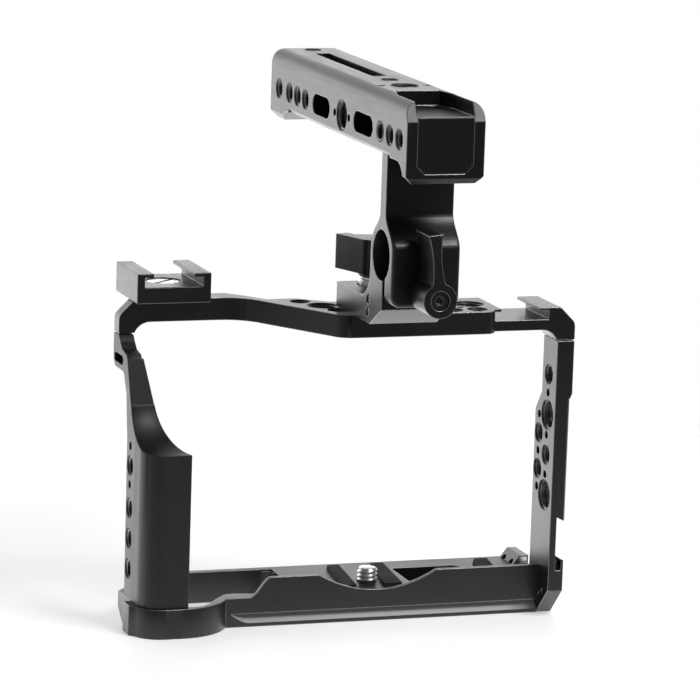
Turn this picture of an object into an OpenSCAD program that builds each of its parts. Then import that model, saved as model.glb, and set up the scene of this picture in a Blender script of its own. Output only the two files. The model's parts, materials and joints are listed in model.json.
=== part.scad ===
// Camera cage with a top handle. Millimetres, X right, Y away from the lens side, Z up.
// The origin is the camera screw's axis at the base plate's upper face.

/* [Cage frame] */
// From the camera screw's axis to the outer face on the grip side
grip_reach = 77.1; // [72:0.1:90]
// From the camera screw's axis to the outer face on the far side
far_reach = 57.2; // [54:0.1:70]
// Height of the cage's top face above the camera seat
top_height = 87; // [84:0.5:110]
// Thickness of the top slab
top_thick = 6.8; // [6:0.1:9]
// From the screw axis forward to the top slab's front face
slab_front = 22.9; // [21:0.1:30]
// From the screw axis forward to the front faces of the far side plate and its corner
far_front = 19; // [17:0.1:20.5]
// Width along Y of the far side plate's upper part
far_upper_width = 11.4; // [10:0.1:15]
// Width along Y of the far side plate's lower part
far_lower_width = 16.1; // [15.6:0.1:16.6]
// From the screw axis back to the top slab's rear face
slab_back = 0.8; // [0:0.1:6]
// Width of the bevel on the upper outer corners
corner_bevel = 4.8; // [2:0.1:5]
// Radius of the rounded inner upper corners
corner_round = 5.2; // [3:0.1:7]
// Radius that blends the upper bevels into the outer faces
corner_blend = 3; // [1:0.1:4]
// Distance from the top face down to the seams with the side plates
seam_drop = 10; // [9:0.1:13]
// Height and depth of the groove that runs round each seam
seam_groove = 0.4; // [0.2:0.05:0.6]
// Wall of the far corner and of the far side plate's upper part
far_wall = 5.4; // [5:0.1:7]
// Wall of the far side plate's perforated part
far_thin_wall = 2.1; // [1.8:0.1:3]
// Wall of the grip side corner and strip
grip_wall = 4.5; // [4:0.1:6]

/* [Slanted arm and left bar] */
// From the screw axis to the front end of the slanted arm
arm_front_x = 17.9; // [16:0.1:20]
// From the screw axis to the slanted arm's front face where it meets the left bar
arm_back_x = 39.3; // [36:0.1:44]
// From the screw axis back to the left bar's front face
bar_front = 11.8; // [9:0.1:14]
// Width along Y of the left bar
bar_width = 8; // [7.5:0.1:10]
// Width along Y of the left corner and the strip's top
strip_top_width = 5.1; // [4.5:0.1:6]
// Radius of the bend between the slanted arm and the left bar
arm_bend = 12; // [6:0.5:16]

/* [Cold shoes] */
// Clear width between the lips of a cold shoe
shoe_opening = 12.6; // [12.5:0.1:13]
// Width of the slot under the lips
shoe_slot = 18.2; // [18:0.1:18.8]
// Height of the slot in the built-in far cold shoe
far_slot_height = 2.7; // [2.2:0.1:3]
// Thickness of the lips of the built-in far cold shoe
far_lip = 0.9; // [0.8:0.1:1.8]
// From the screw axis to the middle of the built-in far cold shoe
far_shoe_x = 39.5; // [38:0.1:42]
// Height of the slot in the separate cold shoe block
block_slot_height = 2.9; // [2.2:0.1:3.2]
// Thickness of the lips of the separate cold shoe block
block_lip = 1.2; // [1:0.1:1.8]
// Width of the separate cold shoe block
block_width = 22.9; // [21:0.1:26]
// Depth along Y of the separate cold shoe block
block_depth = 23.6; // [20:0.1:28]
// Height of the separate cold shoe block
block_height = 9; // [8:0.1:12]
// From the screw axis to the middle of the separate cold shoe block
block_x = 62.2; // [58:0.1:64]
// Diameter of the head of the cold shoe block's screw
shoe_head = 10.4; // [8:0.1:11]

/* [Base plate] */
// Thickness of the base plate
base_thick = 9.7; // [9.2:0.1:12]
// From the screw axis forward to the base plate's front wall
base_front = 10.4; // [9.5:0.1:12]
// From the screw axis back to the base plate's rear face
base_back = 23.4; // [22:0.1:26]
// Height of the front lip above the camera seat
lip_height = 5.3; // [4:0.1:7]
// Thickness of the front lip
lip_wall = 1.6; // [1.2:0.1:2.4]
// Width of the lens-clearance arc at the top of the lip
lens_chord = 37.8; // [30:0.1:44]
// From the camera seat down to the top of the rim under the grip
rim_drop = 0.7; // [0.3:0.1:2]
// From the screw axis forward to the rim's front
rim_front = 20.2; // [19.6:0.1:24]
// From the screw axis to the right end of the battery opening
battery_end = 24; // [20:0.1:28]
// Width of the rail behind the battery opening
rear_rail = 2.8; // [2:0.1:4]
// Depth of the 45 degree dovetail grooves
groove_depth = 2.9; // [2:0.1:3.2]
// Thickness of the flange under the dovetail grooves
groove_flange = 1.2; // [0.6:0.1:2]
// Radius of the cutter run-out at the groove's end
cutter_radius = 8; // [6:0.1:8.4]
// Height of the rubber pads above the camera seat
pad_rise = 1.2; // [0.6:0.1:2]
// Depth that the rubber pads are sunk into the base
pad_seat = 1; // [0.6:0.1:2]

/* [Grip] */
// From the screw axis to the grip panel's inner edge
grip_edge = 62.6; // [60:0.1:66]
// From the screw axis forward to the grip panel's front
grip_front = 19.3; // [17:0.1:19.4]
// Radius of the grip panel's outer corner
grip_corner = 7; // [5:0.1:9]
// From the screw axis forward to the strip's front edge
strip_front = 8.3; // [7:0.1:10]
// Height of the grip panel's top above the camera seat
grip_height = 45.8; // [40:0.1:50]
// Wall of the hollow grip panel
grip_panel_wall = 2.2; // [1.6:0.1:3]
// Radius of the cove above the grip panel
cove_radius = 17; // [12:0.5:17.5]
// Distance from the top face down to the upright's shoulder
shoulder_drop = 14.9; // [13.5:0.1:18]
// Length of the strap slot in the strip's tab
strap_slot_length = 9.6; // [7:0.1:9.8]
// Height of the strap slot in the strip's tab
strap_slot_height = 2.8; // [2:0.1:3]

/* [Far side boss] */
// Height of the boss that gives the far side holes their thread
boss_rise = 2.7; // [2:0.1:3.2]
// Length of the boss along its outer face
boss_length = 38.2; // [35:0.1:42]
// Bevel along the boss's outer edges
boss_bevel = 0.6; // [0.2:0.1:1.2]
// How far the boss's lower end leans out
boss_flare = 1.4; // [0.4:0.1:2]

/* [Tapped holes] */
// Bore of a 1/4 inch tapped hole
quarter_bore = 5.4; // [5:0.1:6]
// Bore of a 3/8 inch tapped hole
big_bore = 8.6; // [7.9:0.1:8.8]
// Bore of a small locating hole
locating_bore = 2.6; // [2:0.1:3]
// Bevel at the mouth of a tapped hole
mouth_bevel = 0.6; // [0.2:0.1:0.7]

/* [Camera screw] */
// Diameter of the camera screw's thread
camera_thread = 6.2; // [6:0.05:6.35]
// Length of thread above the camera seat
camera_thread_rise = 4.5; // [4:0.1:6]
// Diameter of the camera screw's head
camera_head = 12.4; // [10:0.1:14]
// Height of the camera screw's head
camera_head_height = 2.3; // [1.8:0.1:2.6]
// Thickness of the spring washer over the camera screw's head
washer_thick = 0.6; // [0.4:0.1:0.8]

/* [Handle stem] */
// From the screw axis to the middle of the stem and handle, towards the grip
stem_x = 4.3; // [3:0.1:6]
// Width of the stem
stem_width = 20.8; // [18:0.1:21.5]
// Thickness of the stem's upper plate
stem_plate = 4.7; // [4.5:0.1:6]
// From the screw axis forward to the stem plate's front face
stem_front = 47.3; // [46.8:0.1:50]
// How far the clamp's front stands ahead of the stem plate
clamp_step = 7.5; // [6.5:0.1:9]
// Radius of the clamp's rounded front edges
clamp_round = 1; // [0.4:0.1:1.4]
// Radius of the clamp's lower corners
jaw_corner = 3; // [2:0.1:4.5]
// Diameter of the rod that the clamp holds
rod_diameter = 15; // [14.5:0.5:15]
// Radial clearance of the open rod clamp
rod_clearance = 0.05; // [0.02:0.01:0.1]
// Height of the rod's axis above the cage's top face
rod_height = 21.8; // [21.6:0.1:24]
// Wall of the clamp ring behind the rod
ring_wall = 1.6; // [1.4:0.1:3]
// Width of the clamp's slit
slit_width = 2.4; // [1.5:0.1:3]
// Height of the foot block above the cage's top face
foot_height = 7.4; // [7:0.1:10]
// From the screw axis forward to the foot block's rear end
foot_back = 5.6; // [4:0.1:7]
// From the screw axis forward to the front end of the foot's underside
foot_front = 36.5; // [34:0.1:38]

/* [Handle bar] */
// Height of the handle's finger relief above the cage's top face
relief_height = 51.7; // [48:0.1:60]
// Height of the handle bar above the finger relief
bar_height = 17.7; // [16:0.1:20]
// Width of the handle bar
handle_width = 23.7; // [22:0.1:28]
// From the screw axis forward to the handle's front face
handle_front = 67.3; // [66:0.1:72]
// From the screw axis back to the handle's rear face
handle_back = 59.5; // [56:0.5:80]
// How far the end blocks reach below the finger relief
end_drop = 5.9; // [4:0.1:8]
// Radius of the handle's upper edges
handle_round = 4.2; // [2:0.1:5]
// Depth of the pocket at the handle's front
pocket_depth = 4.4; // [4:0.1:6]
// Thickness of the front cap
cap_thick = 1.2; // [1:0.1:2]

/* [Rod clamp lever] */
// Diameter of the lever's hub
hub_diameter = 10.2; // [9.2:0.1:10.8]
// Length of the lever's hub
hub_length = 12.5; // [12:0.1:14]
// Length of the lever's arm from its axis
arm_length = 19.3; // [16:0.1:22]
// Depth of the lever's arm along its axis
arm_depth = 11.5; // [8:0.1:12]
// Lean of the lever's arm towards the grip, in degrees
arm_lean = 6; // [0:0.5:20]
// Diameter of the clamp stud's thread
stud_thread = 4; // [3.6:0.1:4]
// Diameter of the clamp stud's splined head
stud_head = 6.2; // [5.6:0.1:6.4]
// How far the lever lifts off its splines
lever_lift = 1.6; // [1:0.1:1.8]

/* [Foot screw and paddle] */
// From the screw axis forward to the foot screw's axis
foot_screw_y = 13.5; // [12.6:0.1:14]
// Diameter of the foot screw's thread
foot_thread = 6.2; // [6:0.05:6.35]
// Diameter of the foot screw's collar
collar_diameter = 12; // [9:0.1:12.4]
// Height of the collar's top above the foot block
collar_rise = 3; // [2:0.1:4]
// Diameter of the paddle's hub
paddle_hub = 12.1; // [11:0.1:13]
// Length of the paddle from the foot screw's axis
paddle_length = 13.3; // [12:0.1:17]
// Thickness of the paddle's arm
paddle_thick = 4.4; // [3.5:0.1:5]
// Height of the paddle
paddle_height = 10.4; // [9:0.1:12]
// Resting direction of the paddle, in degrees from straight back towards the grip
paddle_turn = 20.8; // [0:0.1:45]

/* [Fits] */
// Radial clearance of a turning or sliding metal part
turn_gap = 0.05; // [0.02:0.01:0.08]
// Radial clearance of a screw through a plain hole
screw_gap = 0.15; // [0.1:0.05:0.3]
// Clear gap between parts that move past each other
free_gap = 0.3; // [0.2:0.05:0.4]

/* [Hidden] */
$fn = 64;
eps = 0.01;
far = 300;

seam_z = top_height - seam_drop;
slab_under = top_height - top_thick;
grip_x = -grip_reach;
far_inner = far_reach - far_wall;
far_thin_outer = far_inner + far_thin_wall;
boss_outer = far_thin_outer + boss_rise;
bar_back = bar_front + bar_width;
strip_top_back = bar_front + strip_top_width;
strip_inner = grip_x + grip_wall;
base_under = -base_thick;
rim_top = -rim_drop;

// Cold shoes
block_y = bar_front + bar_width / 2 + 0.6;
block_front = block_y - block_depth / 2;
shoe_screw_radius = 2.5;
shoe_head_height = 1.6;
shoe_head_sink = 0.25;
shoe_coin_slot = [1.2, 0.7];
shoe_coin_turn = 41;
block_floor = top_height + block_height - block_lip - block_slot_height;
shoe_seat = block_floor - shoe_head_sink - shoe_head_height;

// Top slab
arm_wall = 4;
step_x = 30.4;
slab_blend = 6;
slab_bend_back = [[-14.5, slab_back], [-23.5, slab_back + 7.1], [-32.3, slab_back + 6.8]];
top_quarter_places = [[-23.5, 2.2], [-16.7, -13.2], [25.8, -18.2], [18, -18.2]];
top_big_places = [[-18.8, -5.5], [26.2, -9.4]];
top_pin_place = [21.6, -14.6];

// Far side plate
plate_low_bevel = 9;
plate_low_rise = 8.7;
boss_top = 58.7;
boss_bottom = boss_top - boss_length;
boss_taper = 1.6;
far_shoulder = [59, 53];
far_row_front = -far_front + 6.2;
far_row_back = -far_front + 12.6;
far_plate_back = far_lower_width - far_front;
far_big_holes = [52.8, 27.8];
far_quarter_front = [65.3, 40.3];
far_quarter_back = [46, 34.8];
far_small_front = [59.6, 46.5, 34.2];
far_small_back = [51.8, 40.4, 29.2];
lug_top = 8.4;
lug_slot = [1.7, 2.9];
edge_holes = [[-12.2, -3.4], [-14.6, -2]];
edge_hole_radius = 0.8;
edge_hole_depth = 1.2;

// Grip side
grip_centre = [grip_x + grip_corner + 0.2, grip_corner - grip_front];
shoulder_height = top_height - shoulder_drop;
upright_top_front = 1.8;
upright_top_inner = grip_x + 5;
upright_waist = [-3.1, grip_height + 12.2];
strip_back = -0.3;
strip_hole_y = -3.75;
strip_quarter_holes = [8.5, 17.8, 27, 40];
strip_small_holes = [34.2, 45.9];
strip_taper = [[0.5, 39], [1.7, 32], [2.3, 26.5]];
tab_back = 17.1;
tab_low = top_height - 20.4;
strap_slot_y = 6.3;
strap_slot_z = top_height - 18.8;

// Base plate
rim_small_radius = 8.5;
rim_large_radius = 18.5;
rim_left = -grip_reach - 1.1;
rim_small_x = rim_left + rim_small_radius;
rim_large_x = -64.5;
lens_radius = (lens_chord * lens_chord / 4 + lip_height * lip_height) / (2 * lip_height);
ramp_start = -40.6;
ramp_length = 7;
ramp_steps = 12;
groove_ceiling = base_under + groove_flange + groove_depth;
cutter_x = -40.5;
battery_left = -66;
battery_corner = 4;
cheek_y = far_plate_back + free_gap;
lug_back = 6.5;
lug_foot = [0.4, -5.2];
lug_strap = [[-76.2, -74.6], [1.2, 5.2]];

// Pads and pocket on the base
pad_left_plan = [[-7.2, 17.4], [-3.2, 17.6], [-6, -7.8], [-10.2, -7.8]];
pad_right_plan = [[6.9, 17.5], [11.2, 17.5], [8.7, -7.8], [2.9, -7.8]];
pad_rear_plan = [[39.2, 13], [41.2, 17.2], [44.8, 17.2], [45.3, 16.4], [43.9, 7.2], [38.6, 7.2]];
pad_pitch = 1.1;
pad_groove = 0.35;
pocket_low = [12.8, -5.6];
pocket_size = [21.9, 20.2];
pocket_floor = -7.2;
stop_left = far_inner;
stop_right = stop_left + 5.2;
stop_slope = 2.4;
stop_front = 11.2;
stop_back = 22.6;
stop_height = 3;
stop_notches = [13.6, 19.8];
stop_notch_radius = 1.4;
stop_screw = [stop_left + 2.8, 17.2];
stop_screw_radius = 1;
stop_screw_head = 1.8;
stop_screw_seat = base_under + 2.3;
stop_screw_top = stop_height - 1.4;
insert_low = [stop_left + stop_slope + 0.1, 0.8];
insert_size = [2.3, 3, 1.7];

// Camera screw
camera_thread_radius = camera_thread / 2;
camera_hole_radius = camera_thread_radius + screw_gap;
camera_neck_radius = 2.5;
camera_neck_top = 0.6;
camera_tip = 0.5;
camera_slot = [1.6, 1.3];
camera_recess_radius = camera_head / 2 + 0.6;
camera_head_bottom = base_under + 0.3;
camera_head_top = camera_head_bottom + camera_head_height;
camera_recess_top = camera_head_top + washer_thick + 0.1;

// Stem
stem_mid = -stem_x;
stem_left = stem_mid - stem_width / 2;
stem_right = stem_mid + stem_width / 2;
plate_front = -stem_front;
plate_back = plate_front + stem_plate;
clamp_front = plate_front - clamp_step;
rod_radius = rod_diameter / 2 + rod_clearance;
rod_z = top_height + rod_height;
slit_y = plate_front - 0.2;
rod_y = slit_y + 2.9;
ring_radius = rod_radius + ring_wall;
ring_back = rod_y + ring_radius;
jaw_bottom = top_height + 7.8;
foot_top = top_height + foot_height;
foot_chamfer_top = top_height + 6.5;
foot_fillet = 8;
relief_z = top_height + relief_height;
curve_steps = 14;
bend_steps = 6;
ring_leave = 25;
round_steps = 3;
neck_top = rod_z + 12.8;
neck_low = rod_z + 2.6;

// Clamp lever
clamp_z = rod_z - rod_radius - stud_thread / 2 - 0.3;
stud_radius = stud_thread / 2;
stud_end = plate_back + 4;
lever_back = clamp_front - free_gap;
lever_front = lever_back - hub_length;
stud_head_radius = stud_head / 2;
stud_head_back = clamp_front - 0.2;
stud_head_front = stud_head_back - 6;
stud_thread_depth = 4.2;
web_back = stud_head_front - 0.2;
web_front = web_back - 1.3;
lever_screw_radius = 1.5;
lever_screw_head = 2.8;
lever_screw_head_height = 1.4;
lever_screw_front = lever_front + 0.7;
lever_screw_back = lever_screw_front + lever_screw_head_height;
spring_radius = 2.35;
spring_wire = 0.2;
spring_turns = 2;
hex_across = 2.6;

// Foot screw
foot_y = -foot_screw_y;
collar_recess = 0.6;
hub_bevel = 1;
collar_seat = foot_top - 1.5;
collar_top = foot_top + collar_rise;
paddle_washer_thick = 0.6;
paddle_bottom = collar_top + paddle_washer_thick;
paddle_top = paddle_bottom + paddle_height;
post_radius = 3;
post_top = paddle_top - 3;
post_thread_depth = 6;
pin_radius = 1.25;
pin_spacing = 13.4;
pin_depth = 3;
paddle_step = 1.1;
paddle_step_y = 0.4;
paddle_screw_radius = 1.5;
paddle_screw_head = 2.6;
paddle_screw_seat = paddle_top - 2;
paddle_screw_hex = 1.1;

// Handle
handle_mid = stem_mid;
handle_left = handle_mid - handle_width / 2;
handle_right = handle_mid + handle_width / 2;
handle_top = relief_z + bar_height;
handle_low = relief_z - end_drop;
rear_low = handle_low + 2.3;
pocket_floor_z = handle_top - pocket_depth;
pocket_back_width = 13.4;
pocket_front_width = handle_width - 6.1;
pocket_back = plate_back + 0.9;
pocket_corner = 8;
side_hole_z = handle_top - 11.4;
side_quarter_holes = [-60.7, -52.4, 25.4, 33.2, 41, 51.3];
side_blind_hole = -44.1;
side_blind_depth = 5;
side_big_hole = -9.3;
side_small_holes = [-15.8, -2.8];
side_slots = [[-37.7, -20.1], [1.9, 18.3]];
side_slot_height = 6.3;
long_slot = [5, 55.5, 6];
long_slot_y = -8.8;
top_big_hole = -30.2;
top_quarter_holes = [-17, 55];
cap_width = 16.8;
cap_low = relief_z - 2.9;
cap_corner = 2.4;
cap_gap = 0.1;
stem_screw_radius = 1.5;
stem_screw_head = 2.6;
stem_screw_seat = pocket_floor_z - 4;
stem_screw_spacing = 8.4;

anodised = [0.09, 0.09, 0.095];
bare_steel = [0.78, 0.78, 0.8];
black_steel = [0.14, 0.14, 0.15];
rubber = [0.07, 0.07, 0.07];
grey_block = [0.55, 0.55, 0.56];

// Extrudes a profile drawn in X and Z along Y
module along_y(y0, y1) {
    translate([0, y1, 0])
        rotate([90, 0, 0])
            linear_extrude(y1 - y0)
                children();
}

// Extrudes a profile drawn in Y and Z along X
module along_x(x0, x1) {
    translate([x0, 0, 0])
        rotate([90, 0, 90])
            linear_extrude(x1 - x0)
                children();
}

module rod_x(x0, x1, y, z, r) {
    translate([x0, y, z])
        rotate([0, 90, 0])
            cylinder(h = x1 - x0, r = r);
}

module rod_y(y0, y1, x, z, r) {
    translate([x, y1, z])
        rotate([90, 0, 0])
            cylinder(h = y1 - y0, r = r);
}

module rod_z(z0, z1, x, y, r) {
    translate([x, y, z0])
        cylinder(h = z1 - z0, r = r);
}

// A hole along X with a bevelled mouth at both ends
module tapped_x(x0, x1, y, z, d) {
    rod_x(x0 - 1, x1 + 1, y, z, d / 2);
    for (end = [[x0, 90], [x1, -90]])
        translate([end[0], y, z])
            rotate([0, end[1], 0])
                translate([0, 0, -eps])
                    cylinder(h = mouth_bevel, r1 = d / 2 + mouth_bevel, r2 = d / 2);
}

// A hole along Z with a bevelled mouth at both ends
module tapped_z(z0, z1, x, y, d) {
    rod_z(z0 - 1, z1 + 1, x, y, d / 2);
    translate([x, y, z0 - eps])
        cylinder(h = mouth_bevel, r1 = d / 2 + mouth_bevel, r2 = d / 2);
    translate([x, y, z1 + eps - mouth_bevel])
        cylinder(h = mouth_bevel, r1 = d / 2, r2 = d / 2 + mouth_bevel);
}

function unit(v) = v / norm(v);

// Points of the arc of radius r that rounds the corner b between a and c
function rounded(a, b, c, r) =
    let (
        u = unit(a - b),
        v = unit(c - b),
        half = acos(u * v) / 2,
        centre = b + unit(u + v) * r / sin(half),
        start = b + u * r / tan(half) - centre,
        finish = b + v * r / tan(half) - centre,
        turn = atan2(cross(start, finish), start * finish)
    )
    [
        for (i = [0 : bend_steps])
            let (t = turn * i / bend_steps)
                centre + [start[0] * cos(t) - start[1] * sin(t), start[0] * sin(t) + start[1] * cos(t)]
    ];

// Slot and opening of a cold shoe, with its top at z
module shoe_cut(x, y0, y1, z, lip, slot) {
    translate([x - shoe_opening / 2, y0, z - lip - eps])
        cube([shoe_opening, y1 - y0, lip + 1]);
    translate([x - shoe_slot / 2, y0, z - lip - slot])
        cube([shoe_slot, y1 - y0, slot]);
}

// Groove round the top of a side plate, where it meets the top frame
module seam_rebate(x0, x1, y0, y1) {
    difference() {
        translate([x0 - 1, y0 - 1, seam_z - seam_groove])
            cube([x1 - x0 + 2, y1 - y0 + 2, seam_groove + 1]);
        translate([x0 + seam_groove, y0 + seam_groove, seam_z - seam_groove - 1])
            cube([x1 - x0 - 2 * seam_groove, y1 - y0 - 2 * seam_groove, seam_groove + 3]);
    }
}

// Profile of an upper corner, with its outer face at 0 and its inside towards +X
module corner_profile(wall) {
    difference() {
        polygon(concat(
            [[0, seam_z]],
            rounded([0, seam_z], [0, top_height - corner_bevel], [corner_bevel, top_height], corner_blend),
            [[corner_bevel, top_height], [wall + corner_round, top_height], [wall + corner_round, seam_z]]
        ));
        translate([wall + corner_round, slab_under - corner_round])
            circle(r = corner_round);
        translate([wall, seam_z - 1])
            square([corner_round + 1, max(eps, slab_under - corner_round - seam_z + 1)]);
    }
}

module far_corner() {
    along_y(-far_front, far_upper_width - far_front)
        translate([far_reach, 0])
            mirror([1, 0])
                corner_profile(far_wall);
    along_y(-far_front, slab_back)
        intersection() {
            translate([far_reach, 0])
                mirror([1, 0])
                    corner_profile(far_wall);
            translate([0, slab_under])
                square([far, far]);
        }
}

module grip_corner() {
    along_y(bar_front, strip_top_back)
        translate([grip_x, 0])
            corner_profile(grip_wall);
}

// Outline of the top slab, slanted arm and left bar
module slab_plan() {
    polygon(concat(
        rounded([-arm_back_x, bar_front], [-arm_front_x, -slab_front], [step_x, -slab_front], slab_blend),
        [
            [step_x - 1.8, -slab_front], [step_x, -slab_front + 1.8], [step_x, -far_front],
            [far_reach - far_wall - corner_round, -far_front],
            [far_reach - far_wall - corner_round, slab_back]
        ],
        slab_bend_back,
        [
            [-arm_back_x + 1, bar_back - 4], [-arm_back_x - 2.6, bar_back],
            [strip_inner + corner_round + 3, bar_back],
            [strip_inner + corner_round, strip_top_back],
            [strip_inner + corner_round, bar_front]
        ],
        rounded([grip_x, bar_front], [-arm_back_x, bar_front], [-arm_front_x, -slab_front], arm_bend)
    ));
}

module top_frame() {
    color(anodised)
        difference() {
            union() {
                translate([0, 0, slab_under])
                    linear_extrude(top_thick)
                        slab_plan();
                far_corner();
                grip_corner();
            }
            shoe_cut(far_shoe_x, -far_front - 1, slab_back + 1, top_height, far_lip, far_slot_height);
            for (p = top_quarter_places)
                tapped_z(slab_under, top_height, p[0], p[1], quarter_bore);
            for (p = top_big_places)
                tapped_z(slab_under, top_height, p[0], p[1], big_bore);
            tapped_z(slab_under, top_height, stem_mid, foot_y, foot_thread + 2 * turn_gap);
            rod_z(slab_under - 1, top_height + 1, top_pin_place[0], top_pin_place[1], locating_bore / 2 - 0.3);
            for (side = [-1, 1])
                rod_z(top_height - pin_depth, top_height + 1, stem_mid + side * pin_spacing / 2,
                    foot_y, pin_radius + turn_gap);
            rod_z(slab_under + 1, top_height + 1, -block_x, block_y, shoe_screw_radius + turn_gap);
            dowel_holes();
        }
}

// Places of the dowels that cross the two seams, as x, y
dowel_places = [
    [grip_x + grip_wall / 2, bar_front + strip_top_width / 2],
    [far_reach - far_wall / 2, -far_front + 2.6],
    [far_reach - far_wall / 2, -far_front + far_upper_width - 2.6]
];
dowel_radius = 1;
dowel_half = 3.6;

module dowel_holes() {
    for (p = dowel_places)
        rod_z(seam_z - dowel_half - 0.1, seam_z + dowel_half + 0.1, p[0], p[1], dowel_radius + turn_gap);
}

module seam_dowels() {
    color(bare_steel)
        for (p = dowel_places)
            rod_z(seam_z - dowel_half, seam_z + dowel_half, p[0], p[1], dowel_radius);
}

// Set screws in the rear faces, which lock the dowels under the seams
set_screw_radius = 0.8;
set_screw_z = seam_z - 1.9;
set_screw_places = [[dowel_places[0], strip_top_back], [dowel_places[2], far_upper_width - far_front]];

module set_screw_holes() {
    for (p = set_screw_places)
        rod_y(p[0][1] + dowel_radius + turn_gap, p[1] + 1, p[0][0], set_screw_z, set_screw_radius + turn_gap);
}

module seam_set_screws() {
    color(bare_steel)
        for (p = set_screw_places)
            rod_y(p[0][1] + dowel_radius + 2 * turn_gap, p[1] - 0.2, p[0][0], set_screw_z, set_screw_radius);
}

// Outline of the grip side plate seen from above
module grip_plan() {
    polygon(concat(
        [
            [grip_x, -strip_front], [grip_x, tab_back], [strip_inner, tab_back],
            [strip_inner, upright_top_front], [upright_top_inner, upright_top_front],
            [-grip_edge, -grip_front]
        ],
        arc(grip_centre, grip_corner, 270, 180)
    ));
}

// Outline of the grip side plate seen from the side, in Y and Z
module grip_side_profile() {
    difference() {
        polygon([
            [bar_front, seam_z], [bar_front - 2, seam_z - 2.2], [bar_front - 4.4, shoulder_height + 0.8],
            [upright_top_front + 0.9, shoulder_height], [upright_top_front, shoulder_height - 1],
            upright_waist, [-grip_front - 1, upright_waist[1]],
            [-grip_front - 1, rim_top], [strip_back, rim_top],
            for (p = strip_taper) [strip_back + p[0], top_height - p[1]],
            [strip_back + 5.8, tab_low - 0.2],
            [strip_back + 7.6, tab_low], [tab_back - 2.2, tab_low], [tab_back - 0.4, tab_low + 1.8],
            [tab_back, shoulder_height], [strip_top_back, seam_z]
        ]);
        translate([-grip_front - 0.3, grip_height + cove_radius])
            circle(r = cove_radius);
    }
}

module grip_side_plate() {
    color(anodised)
        difference() {
            intersection() {
                linear_extrude(seam_z)
                    grip_plan();
                along_x(grip_x - 1, -grip_edge + 1)
                    grip_side_profile();
            }
            grip_hollow();
            for (z = strip_quarter_holes)
                tapped_x(grip_x, strip_inner, strip_hole_y, z, quarter_bore);
            for (z = strip_small_holes)
                rod_x(grip_x - 1, strip_inner + 1, strip_hole_y, z, locating_bore / 2);
            strap_slot();
            dowel_holes();
            set_screw_holes();
            base_screw_bores(0);
            seam_rebate(grip_x, strip_inner, bar_front, strip_top_back);
        }
    color(anodised)
        difference() {
            translate([0, 0, rim_top])
                linear_extrude(-rim_top + 2 * eps)
                    intersection() {
                        grip_plan();
                        translate([grip_x - 1, -grip_front - 1])
                            square([far, strip_back + grip_front + 1]);
                    }
            grip_hollow();
            base_screw_bores(0);
        }
}

// Room inside the grip panel, open to the back
module grip_hollow() {
    translate([0, 0, rim_top - 1])
        linear_extrude(grip_height - grip_panel_wall - rim_top + 1)
            intersection() {
                translate([strip_inner, -grip_front])
                    square([far, far]);
                polygon(concat(
                    [[far, far], [far, grip_panel_wall - grip_front]],
                    arc(grip_centre, grip_corner - grip_panel_wall, 270, 180),
                    [[grip_centre[0] - grip_corner + grip_panel_wall, far]]
                ));
            }
}

module strap_slot() {
    for (end = [0, 1])
        rod_x(grip_x - 1, strip_inner + 1,
            strap_slot_y + strap_slot_height / 2 + end * (strap_slot_length - strap_slot_height),
            strap_slot_z + strap_slot_height / 2, strap_slot_height / 2);
    translate([grip_x - 1, strap_slot_y + strap_slot_height / 2, strap_slot_z])
        cube([grip_wall + 2, strap_slot_length - strap_slot_height, strap_slot_height]);
}

// Side outline of the far side plate, in Y and Z
module far_side_profile() {
    polygon([
        [-far_front, seam_z], [-far_front + far_upper_width, seam_z],
        [-far_front + far_upper_width, far_shoulder[0]], [far_plate_back, far_shoulder[1]],
        [far_plate_back, base_under], [-far_front + plate_low_bevel, base_under],
        [-far_front, base_under + plate_low_rise]
    ]);
}

// Front outline of the far side plate with its boss and its lug, in X and Z
module far_front_profile() {
    polygon([
        [far_inner, base_under], [far_inner, seam_z], [far_reach, seam_z],
        [far_reach, boss_top + boss_taper], [boss_outer, boss_top], [boss_outer, boss_bottom],
        [far_thin_outer, boss_bottom + boss_flare], [far_thin_outer, lug_top + 1.5],
        [boss_outer, lug_top], [boss_outer, base_under]
    ]);
}

module right_side_plate() {
    color(anodised)
        difference() {
            intersection() {
                along_x(far_inner, far_reach + 1)
                    far_side_profile();
                along_y(-far_front - 1, far_plate_back + 1)
                    far_front_profile();
            }
            boss_bevels();
            seam_rebate(far_inner, far_reach, -far_front, far_upper_width - far_front);
            for (p = edge_holes)
                rod_x(far_inner - 1, far_inner + edge_hole_depth, p[0], p[1], edge_hole_radius);
            translate([far_thin_outer + 0.1, -far_front - 1, lug_top - 0.2 - lug_slot[1]])
                cube([lug_slot[0], far_lower_width + 2, lug_slot[1]]);
            for (z = far_big_holes)
                tapped_x(far_inner, boss_outer, far_row_front, z, big_bore);
            tapped_x(far_inner, far_reach, far_row_front, far_quarter_front[0], quarter_bore);
            tapped_x(far_inner, boss_outer, far_row_front, far_quarter_front[1], quarter_bore);
            for (z = far_quarter_back)
                tapped_x(far_inner, boss_outer, far_row_back, z, quarter_bore);
            for (z = far_small_front)
                rod_x(far_inner - 1, far_reach + 1, far_row_front, z, locating_bore / 2);
            for (z = far_small_back)
                rod_x(far_inner - 1, far_reach + 1, far_row_back, z, locating_bore / 2);
            dowel_holes();
            set_screw_holes();
            base_side_bores();
        }
}

// Bevels along the boss's front and rear edges
module boss_bevels() {
    translate([0, 0, boss_bottom - 1])
        linear_extrude(boss_top - boss_bottom + 1)
            for (edge = [[-far_front, 1], [far_plate_back, -1]])
                polygon([
                    [boss_outer - boss_bevel, edge[0]], [boss_outer - boss_bevel, edge[0] - edge[1]],
                    [boss_outer + 1, edge[0] - edge[1]], [boss_outer + 1, edge[0] + edge[1] * boss_bevel],
                    [boss_outer, edge[0] + edge[1] * boss_bevel]
                ]);
}

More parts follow.
